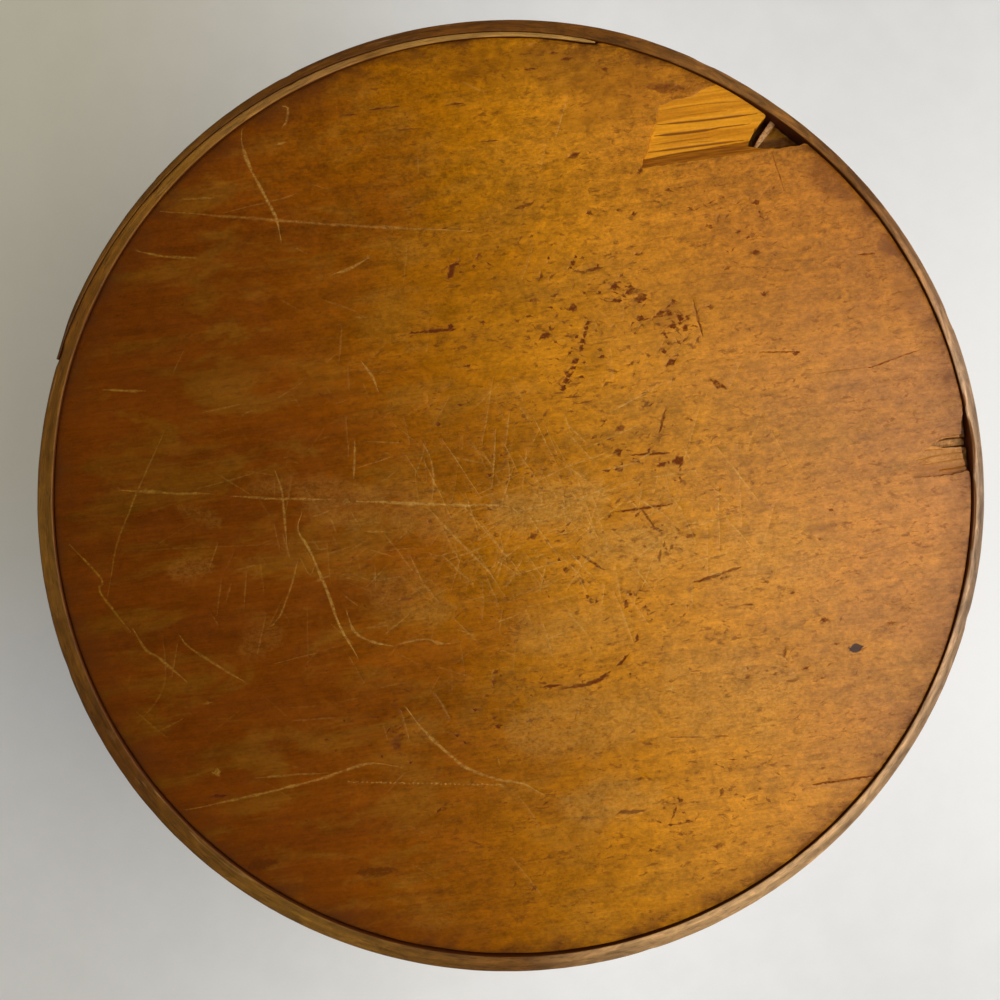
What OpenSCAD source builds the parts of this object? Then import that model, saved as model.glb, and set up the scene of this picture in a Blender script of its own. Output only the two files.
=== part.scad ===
// Round bentwood pantry box: a deep box and a lift-off lid. Each is a pine board held by wooden pegs
// in a hoop, and each hoop is one bent strip whose skived ends lap over each other and are tacked.
// Millimetres, +Z up, origin on the table under the middle of the box.

/* [Box] */
// Inside radius of the box's side strip
box_in_r = 140; // [110:1:180]
// Thickness of the box's side strip
box_t = 4; // [3.2:0.1:6]
// Height of the box's side strip
box_h = 145; // [110:1:200]
// Thickness of the bottom board
bottom_t = 9; // [7:0.5:14]
// How far the bottom board sits above the strip's lower edge
bottom_recess = 0.6; // [0:0.1:3]

/* [Lid] */
// Thickness of the lid's rim strip
lid_t = 4.2; // [3.2:0.1:6]
// Height of the lid's rim strip
lid_h = 42; // [34:1:60]
// Thickness of the lid board
lid_board_t = 9; // [7:0.5:12]
// How far the lid board lies below the rim's top edge
lid_recess = 0.8; // [0:0.1:3]
// Radial play between the lid's rim and the thickest place of the box's strip
lid_fit = 1; // [0.8:0.1:2]

/* [Lapped strips] */
// Direction of the inner tip of the lid's lap, in degrees
lid_lap_start = 79.5; // [70:0.5:90]
// Length of the lid's lap, in degrees
lid_lap = 83.5; // [60:0.5:90]
// Thickness left at the skived tips of the lid's strip
lid_tip = 1.2; // [0.6:0.1:2]
// Direction of the inner tip of the box's lap, in degrees
box_lap_start = 86; // [70:0.5:100]
// Length of the box's lap, in degrees
box_lap = 72; // [60:0.5:90]
// Thickness left at the skived tips of the box's strip
box_tip = 0.8; // [0.6:0.1:1.5]
// Stretch over which a strip lifts off to climb onto its own tip, in degrees
climb = 25; // [15:1:35]
// Open seam between the two layers of a lap
seam = 0.25; // [0.1:0.05:0.5]

/* [Boards and pegs] */
// Shrinkage gap between a board's edge and its hoop
board_gap = 0.4; // [0.2:0.1:0.9]
// Width of an eight-sided peg across its corners
peg_d = 2.6; // [1.8:0.1:3.6]
// Depth of a peg in its board
peg_bite = 10; // [7:0.5:16]
// Play of pegs and tacks in their holes, on the radius
hole_fit = 0.03; // [0.01:0.01:0.1]

/* [Tacks] */
// Diameter of a tack's head
tack_head_d = 5; // [3.5:0.1:7]
// Height of the head's dome
tack_head_h = 0.6; // [0.4:0.1:0.7]
// Diameter of the shank
tack_d = 1.6; // [1.2:0.1:2.4]
// Length of the clinched point that is folded down inside
clinch_l = 5; // [3:0.5:8]
// Thickness of the flattened point
clinch_t = 0.7; // [0.5:0.1:1]

/* [Broken corners of the lid board] */
// Direction of the peg at the long chip, in degrees
long_chip_at = 55; // [53:1:57]
// Drop of the long chip's floor, in degrees
long_chip_slope = 5.5; // [4:0.5:7]
// Direction of the peg at the short chip, in degrees
short_chip_at = 7; // [5:1:10]
// Drop of the short chip's floor, in degrees
short_chip_slope = 8; // [6:0.5:10]
// How far the broken pockets reach below a peg's middle
pocket_below_peg = 0.7; // [0.3:0.1:1.2]
// Height of the split face on an open peg above its middle, as a share of its radius
split_height = 0.3; // [0:0.05:0.6]

/* [Hidden] */
$fn = 96;

box_r = box_in_r + box_t;
bottom_r = box_in_r - board_gap;
lid_in_r = box_r + box_tip + lid_fit;
lid_r = lid_in_r + lid_t;
lid_board_r = lid_in_r - board_gap;

lid_board_z = box_h;
lid_top_z = lid_board_z + lid_board_t + lid_recess;
lid_foot_z = lid_top_z - lid_h;
bottom_top_z = bottom_recess + bottom_t;

peg_r = peg_d / 2;
lid_peg_z = lid_board_z + lid_board_t / 2;
bottom_peg_z = bottom_recess + bottom_t / 2;
lid_peg_angles = [98, 142, 188, 234, 279, 323];
all_lid_peg_angles = concat(lid_peg_angles, [long_chip_at, short_chip_at]);
bottom_peg_angles = [15, 62, 107, 151, 196, 240, 286, 330];

tack_r = tack_d / 2;
// Columns of tacks: the share of the lap from its inner tip, then each tack's share of the open height
box_tack_columns = [[0.12, [0.14, 0.5, 0.86]], [0.53, [0.3, 0.68]], [0.94, [0.12, 0.37, 0.62, 0.87]]];
box_tack_tops = [0.12, 0.94];
lid_tack_columns = [
    [0.16, [0.55]], [0.36, [0.3, 0.8]], [0.58, [0.55]], [0.78, [0.3, 0.8]], [0.95, [0.35, 0.75]]
];
// What a cut needs to reach past the face that it opens
reach = 2;
// How far the seam runs past both tips, in degrees, so that it opens at each end
seam_overrun = 0.5;
// Depth to which a box clinch and a lid clinch are hammered into the strip's inside
box_clinch_sunk = clinch_t * 0.4;
lid_clinch_sunk = clinch_t;

function unit(a) = [cos(a), sin(a)];
// Sideways shift of a circle that gains the rise over the angle, from the place where it crosses the old one
function climb_shift(rise) = rise / sin(climb);
// How far the outside of a lapped strip stands off its plain radius in direction a
function lap_rise(a, start, lap, tip) =
    a < start - climb || a > start + lap ? 0
    : a >= start ? tip
    : climb_shift(tip) * sin(a - start + climb);
function box_rise(a) = lap_rise(a, box_lap_start, box_lap, box_tip);
function lid_rise(a) = lap_rise(a, lid_lap_start, lid_lap, lid_tip);
// Flat list of [direction, height] for columns of tacks on a lap
function tack_places(columns, start, lap, foot, height) = [
    for (column = columns, share = column[1]) [start + lap * column[0], foot + height * share]
];
box_tacks = concat(
    tack_places(box_tack_columns, box_lap_start, box_lap, bottom_top_z, lid_foot_z - bottom_top_z),
    [for (share = box_tack_tops) [box_lap_start + box_lap * share, (lid_foot_z + box_h) / 2]]
);
lid_tacks = tack_places(lid_tack_columns, lid_lap_start, lid_lap, lid_foot_z, lid_board_z - lid_foot_z);

// Chip outlines in plan, from the point on the board's edge over the chip's peg
long_chip_start = [-38, 2.5];
long_chip_runout = 20;
long_chip = [[0, 0], [-1.5, -6], [-3, -10], [-4.5, -17.5], [52, -9.5], [52, 18], [30, 11]];
long_chip_pocket = [[-8, -8.2], [8, -8.2], [14, -4], [8, 6], [0, 5.5]];
short_chip_start = -18.5;
short_chip = [[0, -7.5], [1, -2.5], [8.5, 0.5], [22, 2.5], [22, -11.5], [7, -11]];
short_chip_edge = [[-0.4, 14], [-1.9, 3], [-1.4, -5], [0.8, -11], [6, -11], [6, 14]];
// Room beside and before a peg that a chip has laid open
peg_room = 0.6;
pocket_z = lid_board_t / 2 - pocket_below_peg;

// Plan wedge of any radius from one direction over an angle under 180 degrees
module sector(from, angle, radius) {
    far = radius / cos(angle / 2);
    polygon([[0, 0], far * unit(from), far * unit(from + angle / 2), far * unit(from + angle)]);
}

// Plan of one bent strip: it starts as the inner layer at the inner tip, goes once round,
// climbs onto its own start and ends as the outer layer at the outer tip
module lapped_plan(r_in, t, tip, start, lap) {
    r_out = r_in + t;
    wide = r_out + tip + reach;
    climbing = climb_shift(tip) * unit(start - climb + 90);
    seam_r = r_in + (t + tip) / 2;
    seam_shift = (t - tip) / 2 / sin(lap / 2) * unit(start + lap / 2 + 90);
    difference() {
        union() {
            circle(r_out);
            intersection() {
                circle(r_out + tip);
                translate(climbing) circle(r_out);
                sector(start - climb, climb + lap, wide);
            }
        }
        circle(r_in);
        intersection() {
            translate(climbing) circle(r_in);
            sector(start - climb, climb, wide);
        }
        intersection() {
            translate(seam_shift) difference() {
                circle(seam_r + seam / 2);
                circle(seam_r - seam / 2);
            }
            sector(start - seam_overrun, lap + 2 * seam_overrun, wide);
        }
    }
}

// Moves a shape that is drawn along +X out to a direction and a height
module aimed(a, z) {
    translate([0, 0, z]) rotate([0, 0, a]) children();
}

// Bar along +X between two radii, for pegs and for their holes
module radial_bar(r, from, to, sides) {
    translate([from, 0, 0]) rotate([0, 90, 0]) rotate([0, 0, 180 / sides])
        cylinder(r = r, h = to - from, $fn = sides);
}

module peg_hole(a, z, board_r, out_r) {
    aimed(a, z) radial_bar(peg_r + hole_fit, board_r - peg_bite - hole_fit, out_r + reach, 48);
}

module peg(a, z, board_r, out_r) {
    aimed(a, z) radial_bar(peg_r, board_r - peg_bite, out_r, 8);
}

// Hole for a shank through both layers, with the groove that the clinched point is hammered into
module tack_hole(place, in_r, out_r, sunk) {
    aimed(place[0], place[1]) {
        radial_bar(tack_r + hole_fit, in_r - reach, out_r + reach, 32);
        translate([in_r - reach, -tack_r - hole_fit, -clinch_l - hole_fit])
            cube([reach + sunk, tack_d + 2 * hole_fit, clinch_l + hole_fit]);
    }
}

// One tack: a low domed head outside, a round shank, and a point that is flattened and folded down inside
module tack(place, in_r, out_r, sunk) {
    point_at = in_r + sunk - hole_fit - clinch_t;
    aimed(place[0], place[1]) {
        radial_bar(tack_r, point_at, out_r + tack_head_h / 2, 32);
        translate([out_r + hole_fit, 0, 0]) rotate([0, 90, 0]) tack_head();
        translate([point_at, -tack_r, -clinch_l]) cube([clinch_t, tack_d, clinch_l]);
    }
}

// Dome cut from a sphere, lying on its flat side
module tack_head() {
    dome_r = (pow(tack_head_d / 2, 2) + pow(tack_head_h, 2)) / (2 * tack_head_h);
    intersection() {
        translate([0, 0, tack_head_h - dome_r]) sphere(r = dome_r);
        cylinder(d = tack_head_d + reach, h = tack_head_h + reach);
    }
}

// Cuts a plan outline out of the lid board down to a height above the board's underside
module broken_out(floor_z, outline) {
    translate([0, 0, floor_z]) linear_extrude(lid_board_t + reach) polygon(outline);
}

// Long split along the grain beside a peg: the floor drops away from the line where the split ran out
module long_chip_cut() {
    translate(concat(lid_board_r * unit(long_chip_at), [0])) {
        translate(concat(long_chip_start, [lid_board_t])) rotate([0, 0, long_chip_runout])
            rotate([long_chip_slope, 0, 0]) rotate([0, 0, -long_chip_runout]) broken_out(0, long_chip);
        broken_out(pocket_z, long_chip_pocket);
    }
}

// Short splinter on the other peg, with the broken edge of the board beside it
module short_chip_cut() {
    translate(concat(lid_board_r * unit(short_chip_at), [0])) {
        translate([short_chip_start, 0, lid_board_t]) rotate([0, short_chip_slope, 0])
            broken_out(0, short_chip);
        broken_out(pocket_z, short_chip_edge);
        translate([0, 0, pocket_z]) rotate([0, 0, short_chip_at]) linear_extrude(lid_board_t + reach)
            translate([-peg_bite - peg_room, -peg_r - peg_room])
                square([peg_bite + reach, peg_d + 2 * peg_room]);
    }
}

// A peg whose upper half has split away with the chip, from its point as far as the rim
module split_peg(a) {
    difference() {
        peg(a, lid_peg_z, lid_board_r, lid_r + lid_rise(a));
        aimed(a, lid_peg_z + peg_r * split_height)
            translate([lid_board_r - peg_bite - reach, -peg_d, 0])
                cube([peg_bite + reach - peg_room, 2 * peg_d, peg_d]);
    }
}

module box_side_strip() {
    color("peru") difference() {
        linear_extrude(box_h) lapped_plan(box_in_r, box_t, box_tip, box_lap_start, box_lap);
        for (a = bottom_peg_angles) peg_hole(a, bottom_peg_z, bottom_r, box_r + box_tip);
        for (place = box_tacks) tack_hole(place, box_in_r, box_r + box_tip, box_clinch_sunk);
    }
}

module box_bottom_board() {
    color("burlywood") difference() {
        translate([0, 0, bottom_recess]) cylinder(r = bottom_r, h = bottom_t);
        for (a = bottom_peg_angles) peg_hole(a, bottom_peg_z, bottom_r, box_r);
    }
}

module box_bottom_pegs() {
    color("tan") for (a = bottom_peg_angles) peg(a, bottom_peg_z, bottom_r, box_r + box_rise(a));
}

module box_lap_tacks() {
    color("dimgray") for (place = box_tacks) tack(place, box_in_r, box_r + box_tip, box_clinch_sunk);
}

module lid_rim_strip() {
    color("sienna") difference() {
        translate([0, 0, lid_foot_z]) linear_extrude(lid_h)
            lapped_plan(lid_in_r, lid_t, lid_tip, lid_lap_start, lid_lap);
        for (a = all_lid_peg_angles) peg_hole(a, lid_peg_z, lid_board_r, lid_r + lid_tip);
        for (place = lid_tacks) tack_hole(place, lid_in_r, lid_r + lid_tip, lid_clinch_sunk);
    }
}

module lid_board() {
    color("darkgoldenrod") difference() {
        translate([0, 0, lid_board_z]) cylinder(r = lid_board_r, h = lid_board_t);
        for (a = all_lid_peg_angles) peg_hole(a, lid_peg_z, lid_board_r, lid_r);
        translate([0, 0, lid_board_z]) {
            long_chip_cut();
            short_chip_cut();
        }
    }
}

module lid_pegs() {
    color("tan") for (a = lid_peg_angles) peg(a, lid_peg_z, lid_board_r, lid_r + lid_rise(a));
}

module split_peg_long_chip() {
    color("tan") split_peg(long_chip_at);
}

module split_peg_short_chip() {
    color("tan") split_peg(short_chip_at);
}

module lid_lap_tacks() {
    color("dimgray") for (place = lid_tacks) tack(place, lid_in_r, lid_r + lid_tip, lid_clinch_sunk);
}

box_side_strip();
box_bottom_board();
box_bottom_pegs();
box_lap_tacks();
lid_rim_strip();
lid_board();
lid_pegs();
split_peg_long_chip();
split_peg_short_chip();
lid_lap_tacks();
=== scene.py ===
"""The looks of a round bentwood pantry box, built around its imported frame."""

import math
import random
from dataclasses import dataclass

import bpy
import numpy as np
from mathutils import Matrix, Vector
from mathutils.geometry import delaunay_2d_cdt


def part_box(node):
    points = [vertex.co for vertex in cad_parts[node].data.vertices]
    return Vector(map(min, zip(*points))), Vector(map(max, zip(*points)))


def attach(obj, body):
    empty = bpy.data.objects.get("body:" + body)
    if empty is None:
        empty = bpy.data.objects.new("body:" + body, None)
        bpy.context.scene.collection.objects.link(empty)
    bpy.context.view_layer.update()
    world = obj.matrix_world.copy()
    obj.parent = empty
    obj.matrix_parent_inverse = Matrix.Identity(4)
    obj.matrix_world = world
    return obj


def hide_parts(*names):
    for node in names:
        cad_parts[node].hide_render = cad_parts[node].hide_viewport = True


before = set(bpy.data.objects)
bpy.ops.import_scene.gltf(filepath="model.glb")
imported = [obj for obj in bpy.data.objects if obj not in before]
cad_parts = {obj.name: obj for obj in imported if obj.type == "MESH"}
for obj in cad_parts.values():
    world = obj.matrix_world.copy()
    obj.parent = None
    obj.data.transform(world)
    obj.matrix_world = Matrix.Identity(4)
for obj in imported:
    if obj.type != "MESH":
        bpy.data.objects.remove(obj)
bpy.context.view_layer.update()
scene = bpy.context.scene
chance = random.Random(1871)

# Sizes, in millimetres and degrees, from the frame where it has them
MM = 0.001
TURN = 360.0
FULL_CIRCLE = 2 * math.pi


def corners(node):
    """Lowest and highest corner of a CAD node, in millimetres."""
    low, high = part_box(node)
    return [c / MM for c in low], [c / MM for c in high]


def smooth(share):
    """A share from 0 to 1 that starts and ends gently."""
    share = np.clip(share, 0.0, 1.0)
    return share * share * (3.0 - 2.0 * share)


class Hoop:
    """A strip bent into a ring, with its outer end skived thin and lapped over its inner end."""
    # Degrees in which the outer end climbs onto the inner one, and the width of the seam between them
    climb = 25.0
    seam = 0.08

    def __init__(self, node, thick, lap_start, lap, tip):
        low, high = corners(node)
        self.bottom = low[2]
        self.top = high[2]
        self.outer_r = high[0]
        self.inner_r = self.outer_r - thick
        self.thick = thick
        self.lap_start = lap_start
        self.lap = lap
        self.tip = tip

    def turn_at(self, angle):
        """Degrees along the strip from its inner tip, at a direction in degrees."""
        return (angle - self.lap_start) % TURN

    def rise(self, turn):
        """How far the strip has climbed onto its own inner tip."""
        return self.tip * smooth((turn - TURN + self.climb) / self.climb)

    def seam_r(self, turn):
        """Radius of the seam between the two layers of the lap."""
        start = self.inner_r + self.tip
        return start + (self.outer_r - start) * turn / self.lap

    def faces(self, turn):
        """Radii of the inner and the outer face, some degrees along the strip from its inner tip."""
        inner = self.inner_r + self.rise(turn)
        outer = self.outer_r + self.rise(turn)
        if turn > TURN:
            inner = self.seam_r(turn - TURN) + self.seam / 2
        if turn < self.lap:
            outer = self.seam_r(turn) - self.seam / 2
        return inner, outer

    def single(self, turn):
        """1 where the strip is a single layer, falling to 0 towards its lap."""
        return smooth((turn - self.lap) / 16.0) * smooth((TURN - 5.0 - turn) / 20.0)


lid_hoop = Hoop("lid_rim_strip", thick=4.2, lap_start=79.5, lap=83.5, tip=1.2)
box_hoop = Hoop("box_side_strip", thick=4.0, lap_start=86.0, lap=72.0, tip=0.8)
board_low, board_high = corners("lid_board")
bottom_low, bottom_high = corners("box_bottom_board")
board_r = board_high[0]
board_top = board_high[2]
bottom_r = bottom_high[0]
peg_r = 1.3
slim_peg_r = 1.05
peg_bite = 10.0
lid_peg_angles = [98, 142, 188, 234, 279, 323]
long_chip_peg = 55
short_chip_peg = 7
bottom_peg_angles = [15, 62, 107, 151, 196, 240, 286, 330]
lid_peg_z = (board_low[2] + board_high[2]) / 2
bottom_peg_z = (bottom_low[2] + bottom_high[2]) / 2

# The photograph, in its own pixels: a view straight down on the lid's circle
FRAME_PX = 1000
LID_CENTRE_PX = (511.0, 496.5)
LID_RADIUS_PX = 474.0
EYE_HEIGHT = 317.0
SENSOR = 36.0
GRAIN_TILT = 7.7
mm_per_px = lid_hoop.outer_r / LID_RADIUS_PX
eye_x = (FRAME_PX / 2 - LID_CENTRE_PX[0]) * mm_per_px
eye_y = (LID_CENTRE_PX[1] - FRAME_PX / 2) * mm_per_px


def on_lid(x, y):
    """Where the lid's top shows at a pixel of the photograph."""
    below = lid_hoop.top - board_top
    scale = mm_per_px * (EYE_HEIGHT + below) / EYE_HEIGHT
    return eye_x + (x - FRAME_PX / 2) * scale, eye_y + (FRAME_PX / 2 - y) * scale


def all_on_lid(points_px):
    """The same for a row of pixels."""
    return [on_lid(*p) for p in points_px]


# Pale scratches on the lid, read off the photograph: width in pixels, strength, then the points
SCRATCHES_PX = [
    (3.0, 1.0, [(242, 131), (242, 144), (250, 167), (268, 202), (277, 221), (281, 240)]),
    (2.4, 0.8, [(282, 106), (288, 108), (287, 121), (283, 126)]),
    (2.6, 0.7, [(160, 211), (224, 216), (275, 220), (340, 225), (397, 228), (472, 231)]),
    (2.0, 0.6, [(182, 199), (216, 198)]), (1.8, 0.6, [(224, 213), (250, 206), (283, 198), (298, 193)]),
    (2.6, 0.8, [(140, 252), (164, 256), (194, 258)]), (2.0, 0.8, [(275, 145), (285, 142)]),
    (2.4, 0.9, [(333, 274), (351, 268), (367, 259)]), (2.2, 0.8, [(362, 362), (372, 376), (378, 391)]),
    (2.4, 0.8, [(104, 390), (145, 391)]),
    (2.2, 0.7, [(164, 432), (141, 483), (129, 512), (117, 544), (108, 596)]),
    (2.8, 0.8, [(121, 490), (169, 493), (210, 494)]), (2.4, 0.8, [(230, 496), (284, 499), (331, 499)]),
    (2.8, 1.0, [(356, 501), (400, 503), (467, 505), (507, 506), (517, 512)]),
    (1.8, 0.5, [(196, 489), (226, 481), (268, 469)]),
    (2.2, 0.8, [(275, 470), (281, 488), (283, 502), (287, 545)]),
    (2.8, 1.0, [(302, 513), (298, 530), (311, 553), (330, 598), (340, 627), (358, 658)]),
    (2.2, 0.8, [(299, 558), (284, 608), (273, 625)]), (2.0, 0.7, [(300, 558), (310, 575), (316, 562)]),
    (2.2, 0.8, [(70, 545), (102, 580), (100, 592), (131, 632)]),
    (2.4, 0.8, [(133, 629), (146, 650), (159, 658), (187, 682)]),
    (2.2, 0.7, [(180, 636), (190, 648), (231, 674), (245, 682)]),
    (2.6, 0.9, [(347, 613), (354, 631), (370, 641), (393, 646)]), (2.0, 0.6, [(342, 594), (358, 606)]),
    (2.2, 0.8, [(355, 441), (354, 479)]), (1.6, 0.4, [(125, 551), (276, 544), (368, 539)]),
    (1.8, 0.5, [(163, 634), (164, 686), (138, 724)]), (1.8, 0.6, [(266, 613), (257, 655)]),
    (1.6, 0.4, [(307, 606), (308, 667)]), (2.0, 0.7, [(352, 512), (362, 529)]),
    (2.2, 0.8, [(421, 440), (429, 455), (434, 478), (432, 501)]),
    (2.4, 0.8, [(429, 509), (465, 547), (490, 572), (494, 578)]),
    (2.0, 0.7, [(476, 529), (519, 514), (563, 502), (603, 492), (639, 482)]),
    (1.8, 0.6, [(473, 497), (519, 474)]), (2.0, 0.7, [(543, 474), (559, 501), (566, 516), (584, 538)]),
    (2.0, 0.7, [(484, 574), (519, 547), (526, 543)]),
    (2.4, 0.8, [(400, 644), (425, 639), (438, 643), (450, 644)]), (2.0, 0.6, [(455, 620), (478, 643)]),
    (2.0, 0.6, [(410, 555), (423, 582), (438, 601)]), (2.0, 0.6, [(383, 532), (418, 577)]),
    (2.0, 0.6, [(681, 497), (664, 526), (628, 547)]),
    (2.8, 0.8, [(407, 708), (421, 727), (442, 748), (465, 767), (493, 778), (523, 784), (543, 794)]),
    (2.8, 0.8, [(186, 810), (261, 794), (320, 779), (355, 767), (375, 763), (400, 767)]),
    (2.0, 0.6, [(256, 778), (290, 775), (327, 773)]), (2.0, 0.6, [(513, 858), (543, 897)]),
    (1.8, 0.5, [(738, 440), (740, 487), (742, 527)]), (2.0, 0.6, [(774, 507), (749, 598)]),
    (2.2, 0.7, [(568, 95), (556, 136)]), (2.0, 0.6, [(546, 147), (541, 168)]),
    (2.0, 0.6, [(463, 82), (482, 92)]), (1.8, 0.6, [(311, 184), (325, 189)]),
]
# A wheel or comb has left a dotted line: its two ends and the pitch of its dots in pixels, and then a dot's
# length and width in pixels, tilt in degrees and strength
DOTTED_PX = ((349, 782), (504, 785), 4.6)
DOT_PX = (3.8, 3.4, 0, 1.0)

# Dark dents and stained cracks on the lid: pixel, length and width in pixels, tilt in degrees, strength. They
# are drawn a little larger, because their outlines are soft.
DENT_GROWTH = 1.2
DENTS_PX = [
    (452, 271, 17, 8, 70, 1.0), (457, 263, 8, 5, 50, 0.8), (434, 331, 38, 3.5, 5, 1.0),
    (450, 327, 9, 6, 70, 1.0), (483, 322, 6, 5, 0, 0.8), (546, 336, 13, 8, 20, 1.0),
    (572, 307, 10, 10, 60, 1.0), (588, 323, 7, 5, 40, 1.0), (586, 328, 6, 5, 60, 1.0),
    (585, 334, 8, 5, 70, 1.0), (582, 341, 7, 5, 40, 1.0), (581, 348, 8, 5, 60, 1.0),
    (575, 361, 9, 5, 30, 1.0), (573, 368, 8, 4, 20, 1.0), (569, 375, 8, 5, 40, 1.0),
    (566, 381, 8, 5, 30, 1.0), (563, 388, 8, 6, 50, 1.0), (573, 262, 7, 6, 0, 0.9),
    (594, 269, 15, 4, 10, 0.7), (614, 287, 9, 6, 20, 1.0), (641, 297, 14, 9, 10, 0.8),
    (630, 291, 12, 5, 30, 0.8), (641, 318, 8, 7, 60, 1.0), (617, 301, 11, 5, 0, 0.9),
    (660, 314, 10, 6, 40, 0.9), (669, 312, 7, 7, 0, 0.9), (680, 318, 9, 7, 70, 1.0),
    (673, 326, 8, 6, 30, 0.9), (685, 328, 7, 9, 20, 1.0), (664, 333, 6, 5, 0, 0.7),
    (664, 351, 7, 6, 0, 1.0), (671, 363, 12, 7, 20, 1.0), (674, 301, 6, 5, 0, 0.9),
    (638, 254, 7, 4, 0, 0.8), (541, 276, 7, 4, 80, 0.7), (468, 366, 6, 5, 30, 0.7),
    (460, 405, 6, 4, 0, 0.7), (438, 424, 7, 6, 0, 0.7), (604, 421, 5, 4, 0, 0.8),
    (620, 428, 12, 8, 20, 0.6), (662, 422, 20, 4, 75, 0.8), (573, 397, 14, 2.5, 5, 0.7),
    (585, 402, 12, 3, 10, 0.7), (589, 213, 7, 6, 0, 0.9), (604, 211, 5, 3, 0, 0.7),
    (619, 210, 6, 4, 0, 0.7), (634, 214, 6, 5, 0, 0.9), (668, 190, 6, 4, 0, 0.8), (756, 202, 9, 6, 20, 0.9),
    (698, 318, 32, 3, 105, 0.7), (727, 268, 7, 5, 30, 0.8), (764, 294, 7, 6, 0, 0.8),
    (756, 253, 10, 6, 10, 0.8), (719, 385, 17, 6, -30, 1.0), (780, 352, 34, 2.5, 0, 0.8),
    (796, 353, 8, 5, 20, 0.9), (894, 359, 46, 2.5, 20, 0.7), (845, 370, 48, 2, 7, 0.5),
    (867, 254, 15, 3, 5, 0.7), (618, 452, 11, 8, 20, 1.0), (650, 454, 34, 3, 3, 0.9),
    (678, 460, 14, 10, 30, 0.9), (662, 464, 9, 6, 10, 0.8), (607, 470, 8, 5, 0, 0.8),
    (619, 469, 10, 6, 10, 0.8), (430, 522, 5, 4, 0, 0.7), (533, 536, 11, 9, 40, 0.6),
    (559, 560, 5, 4, 0, 0.8), (565, 569, 6, 4, 70, 0.8), (592, 562, 25, 3, -34, 0.8),
    (644, 508, 50, 3, 8, 0.9), (648, 518, 20, 3, -55, 0.8), (657, 529, 12, 4, -20, 0.7),
    (660, 555, 11, 5, 80, 0.9), (672, 547, 7, 5, 60, 0.8), (664, 545, 6, 4, 70, 0.8),
    (691, 536, 11, 6, 20, 0.8), (578, 686, 18, 4, 8, 1.0), (594, 682, 18, 5, 20, 1.0),
    (604, 676, 12, 5, 40, 1.0), (623, 660, 14, 4, 45, 1.0), (496, 672, 7, 5, 30, 0.9),
    (494, 682, 7, 5, 70, 0.8), (552, 686, 15, 3.5, 5, 0.9), (406, 599, 13, 5, 10, 0.6),
    (637, 638, 8, 4, 80, 0.8), (626, 604, 10, 6, 80, 0.7), (645, 591, 10, 3, 0, 0.7),
    (476, 710, 6, 4, 0, 0.8), (494, 718, 5, 4, 0, 0.7), (499, 726, 8, 5, 10, 0.9), (530, 721, 6, 4, 0, 0.8),
    (831, 510, 6, 4, 0, 0.7), (820, 539, 5, 4, 0, 0.7), (709, 578, 28, 4, 16, 1.0),
    (732, 570, 18, 3, 18, 0.8), (749, 605, 11, 3, 0, 0.7), (767, 582, 6, 4, 0, 0.7),
    (792, 593, 6, 4, 0, 0.7), (824, 620, 8, 5, 0, 0.8), (892, 623, 5, 4, 0, 0.8), (836, 644, 5, 3, 0, 0.7),
    (785, 653, 9, 4, 80, 0.7), (696, 671, 11, 3, 5, 0.7), (792, 681, 11, 3, 5, 0.6),
    (886, 549, 42, 2, 16, 0.4), (630, 812, 22, 5, 3, 1.0), (681, 800, 7, 6, 0, 0.9),
    (674, 813, 12, 4, 70, 0.8), (671, 825, 6, 4, 0, 0.8), (640, 779, 9, 5, 10, 0.7),
    (722, 792, 9, 5, 70, 0.7), (719, 846, 11, 6, 10, 0.7), (585, 818, 9, 5, 10, 0.7),
    (535, 888, 6, 5, 0, 0.9), (687, 737, 32, 2.5, 0, 0.7), (720, 736, 16, 2.5, 0, 0.6),
    (647, 744, 10, 4, 0, 0.6), (845, 780, 56, 3, 8, 0.9), (219, 796, 14, 4, 5, 0.9),
    (397, 742, 18, 11, 80, 0.5), (531, 69, 13, 4, 5, 0.7), (554, 53, 9, 4, 0, 0.8),
    (566, 59, 11, 4, 10, 0.8), (605, 69, 7, 4, 0, 0.7), (384, 108, 26, 3, 6, 0.7),
    (348, 115, 15, 3, 6, 0.6), (410, 129, 24, 2.5, 5, 0.6), (455, 104, 16, 3, 5, 0.7),
    (489, 141, 18, 3, 5, 0.7), (574, 155, 13, 6, 20, 0.8), (524, 206, 19, 4, 20, 0.6),
    (641, 170, 8, 6, 70, 0.9), (778, 171, 34, 2.5, 108, 0.6), (660, 86, 26, 9, 3, 0.5),
    (676, 90, 30, 10, 3, 0.45), (711, 307, 7, 5, 0, 0.7),
]
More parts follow.
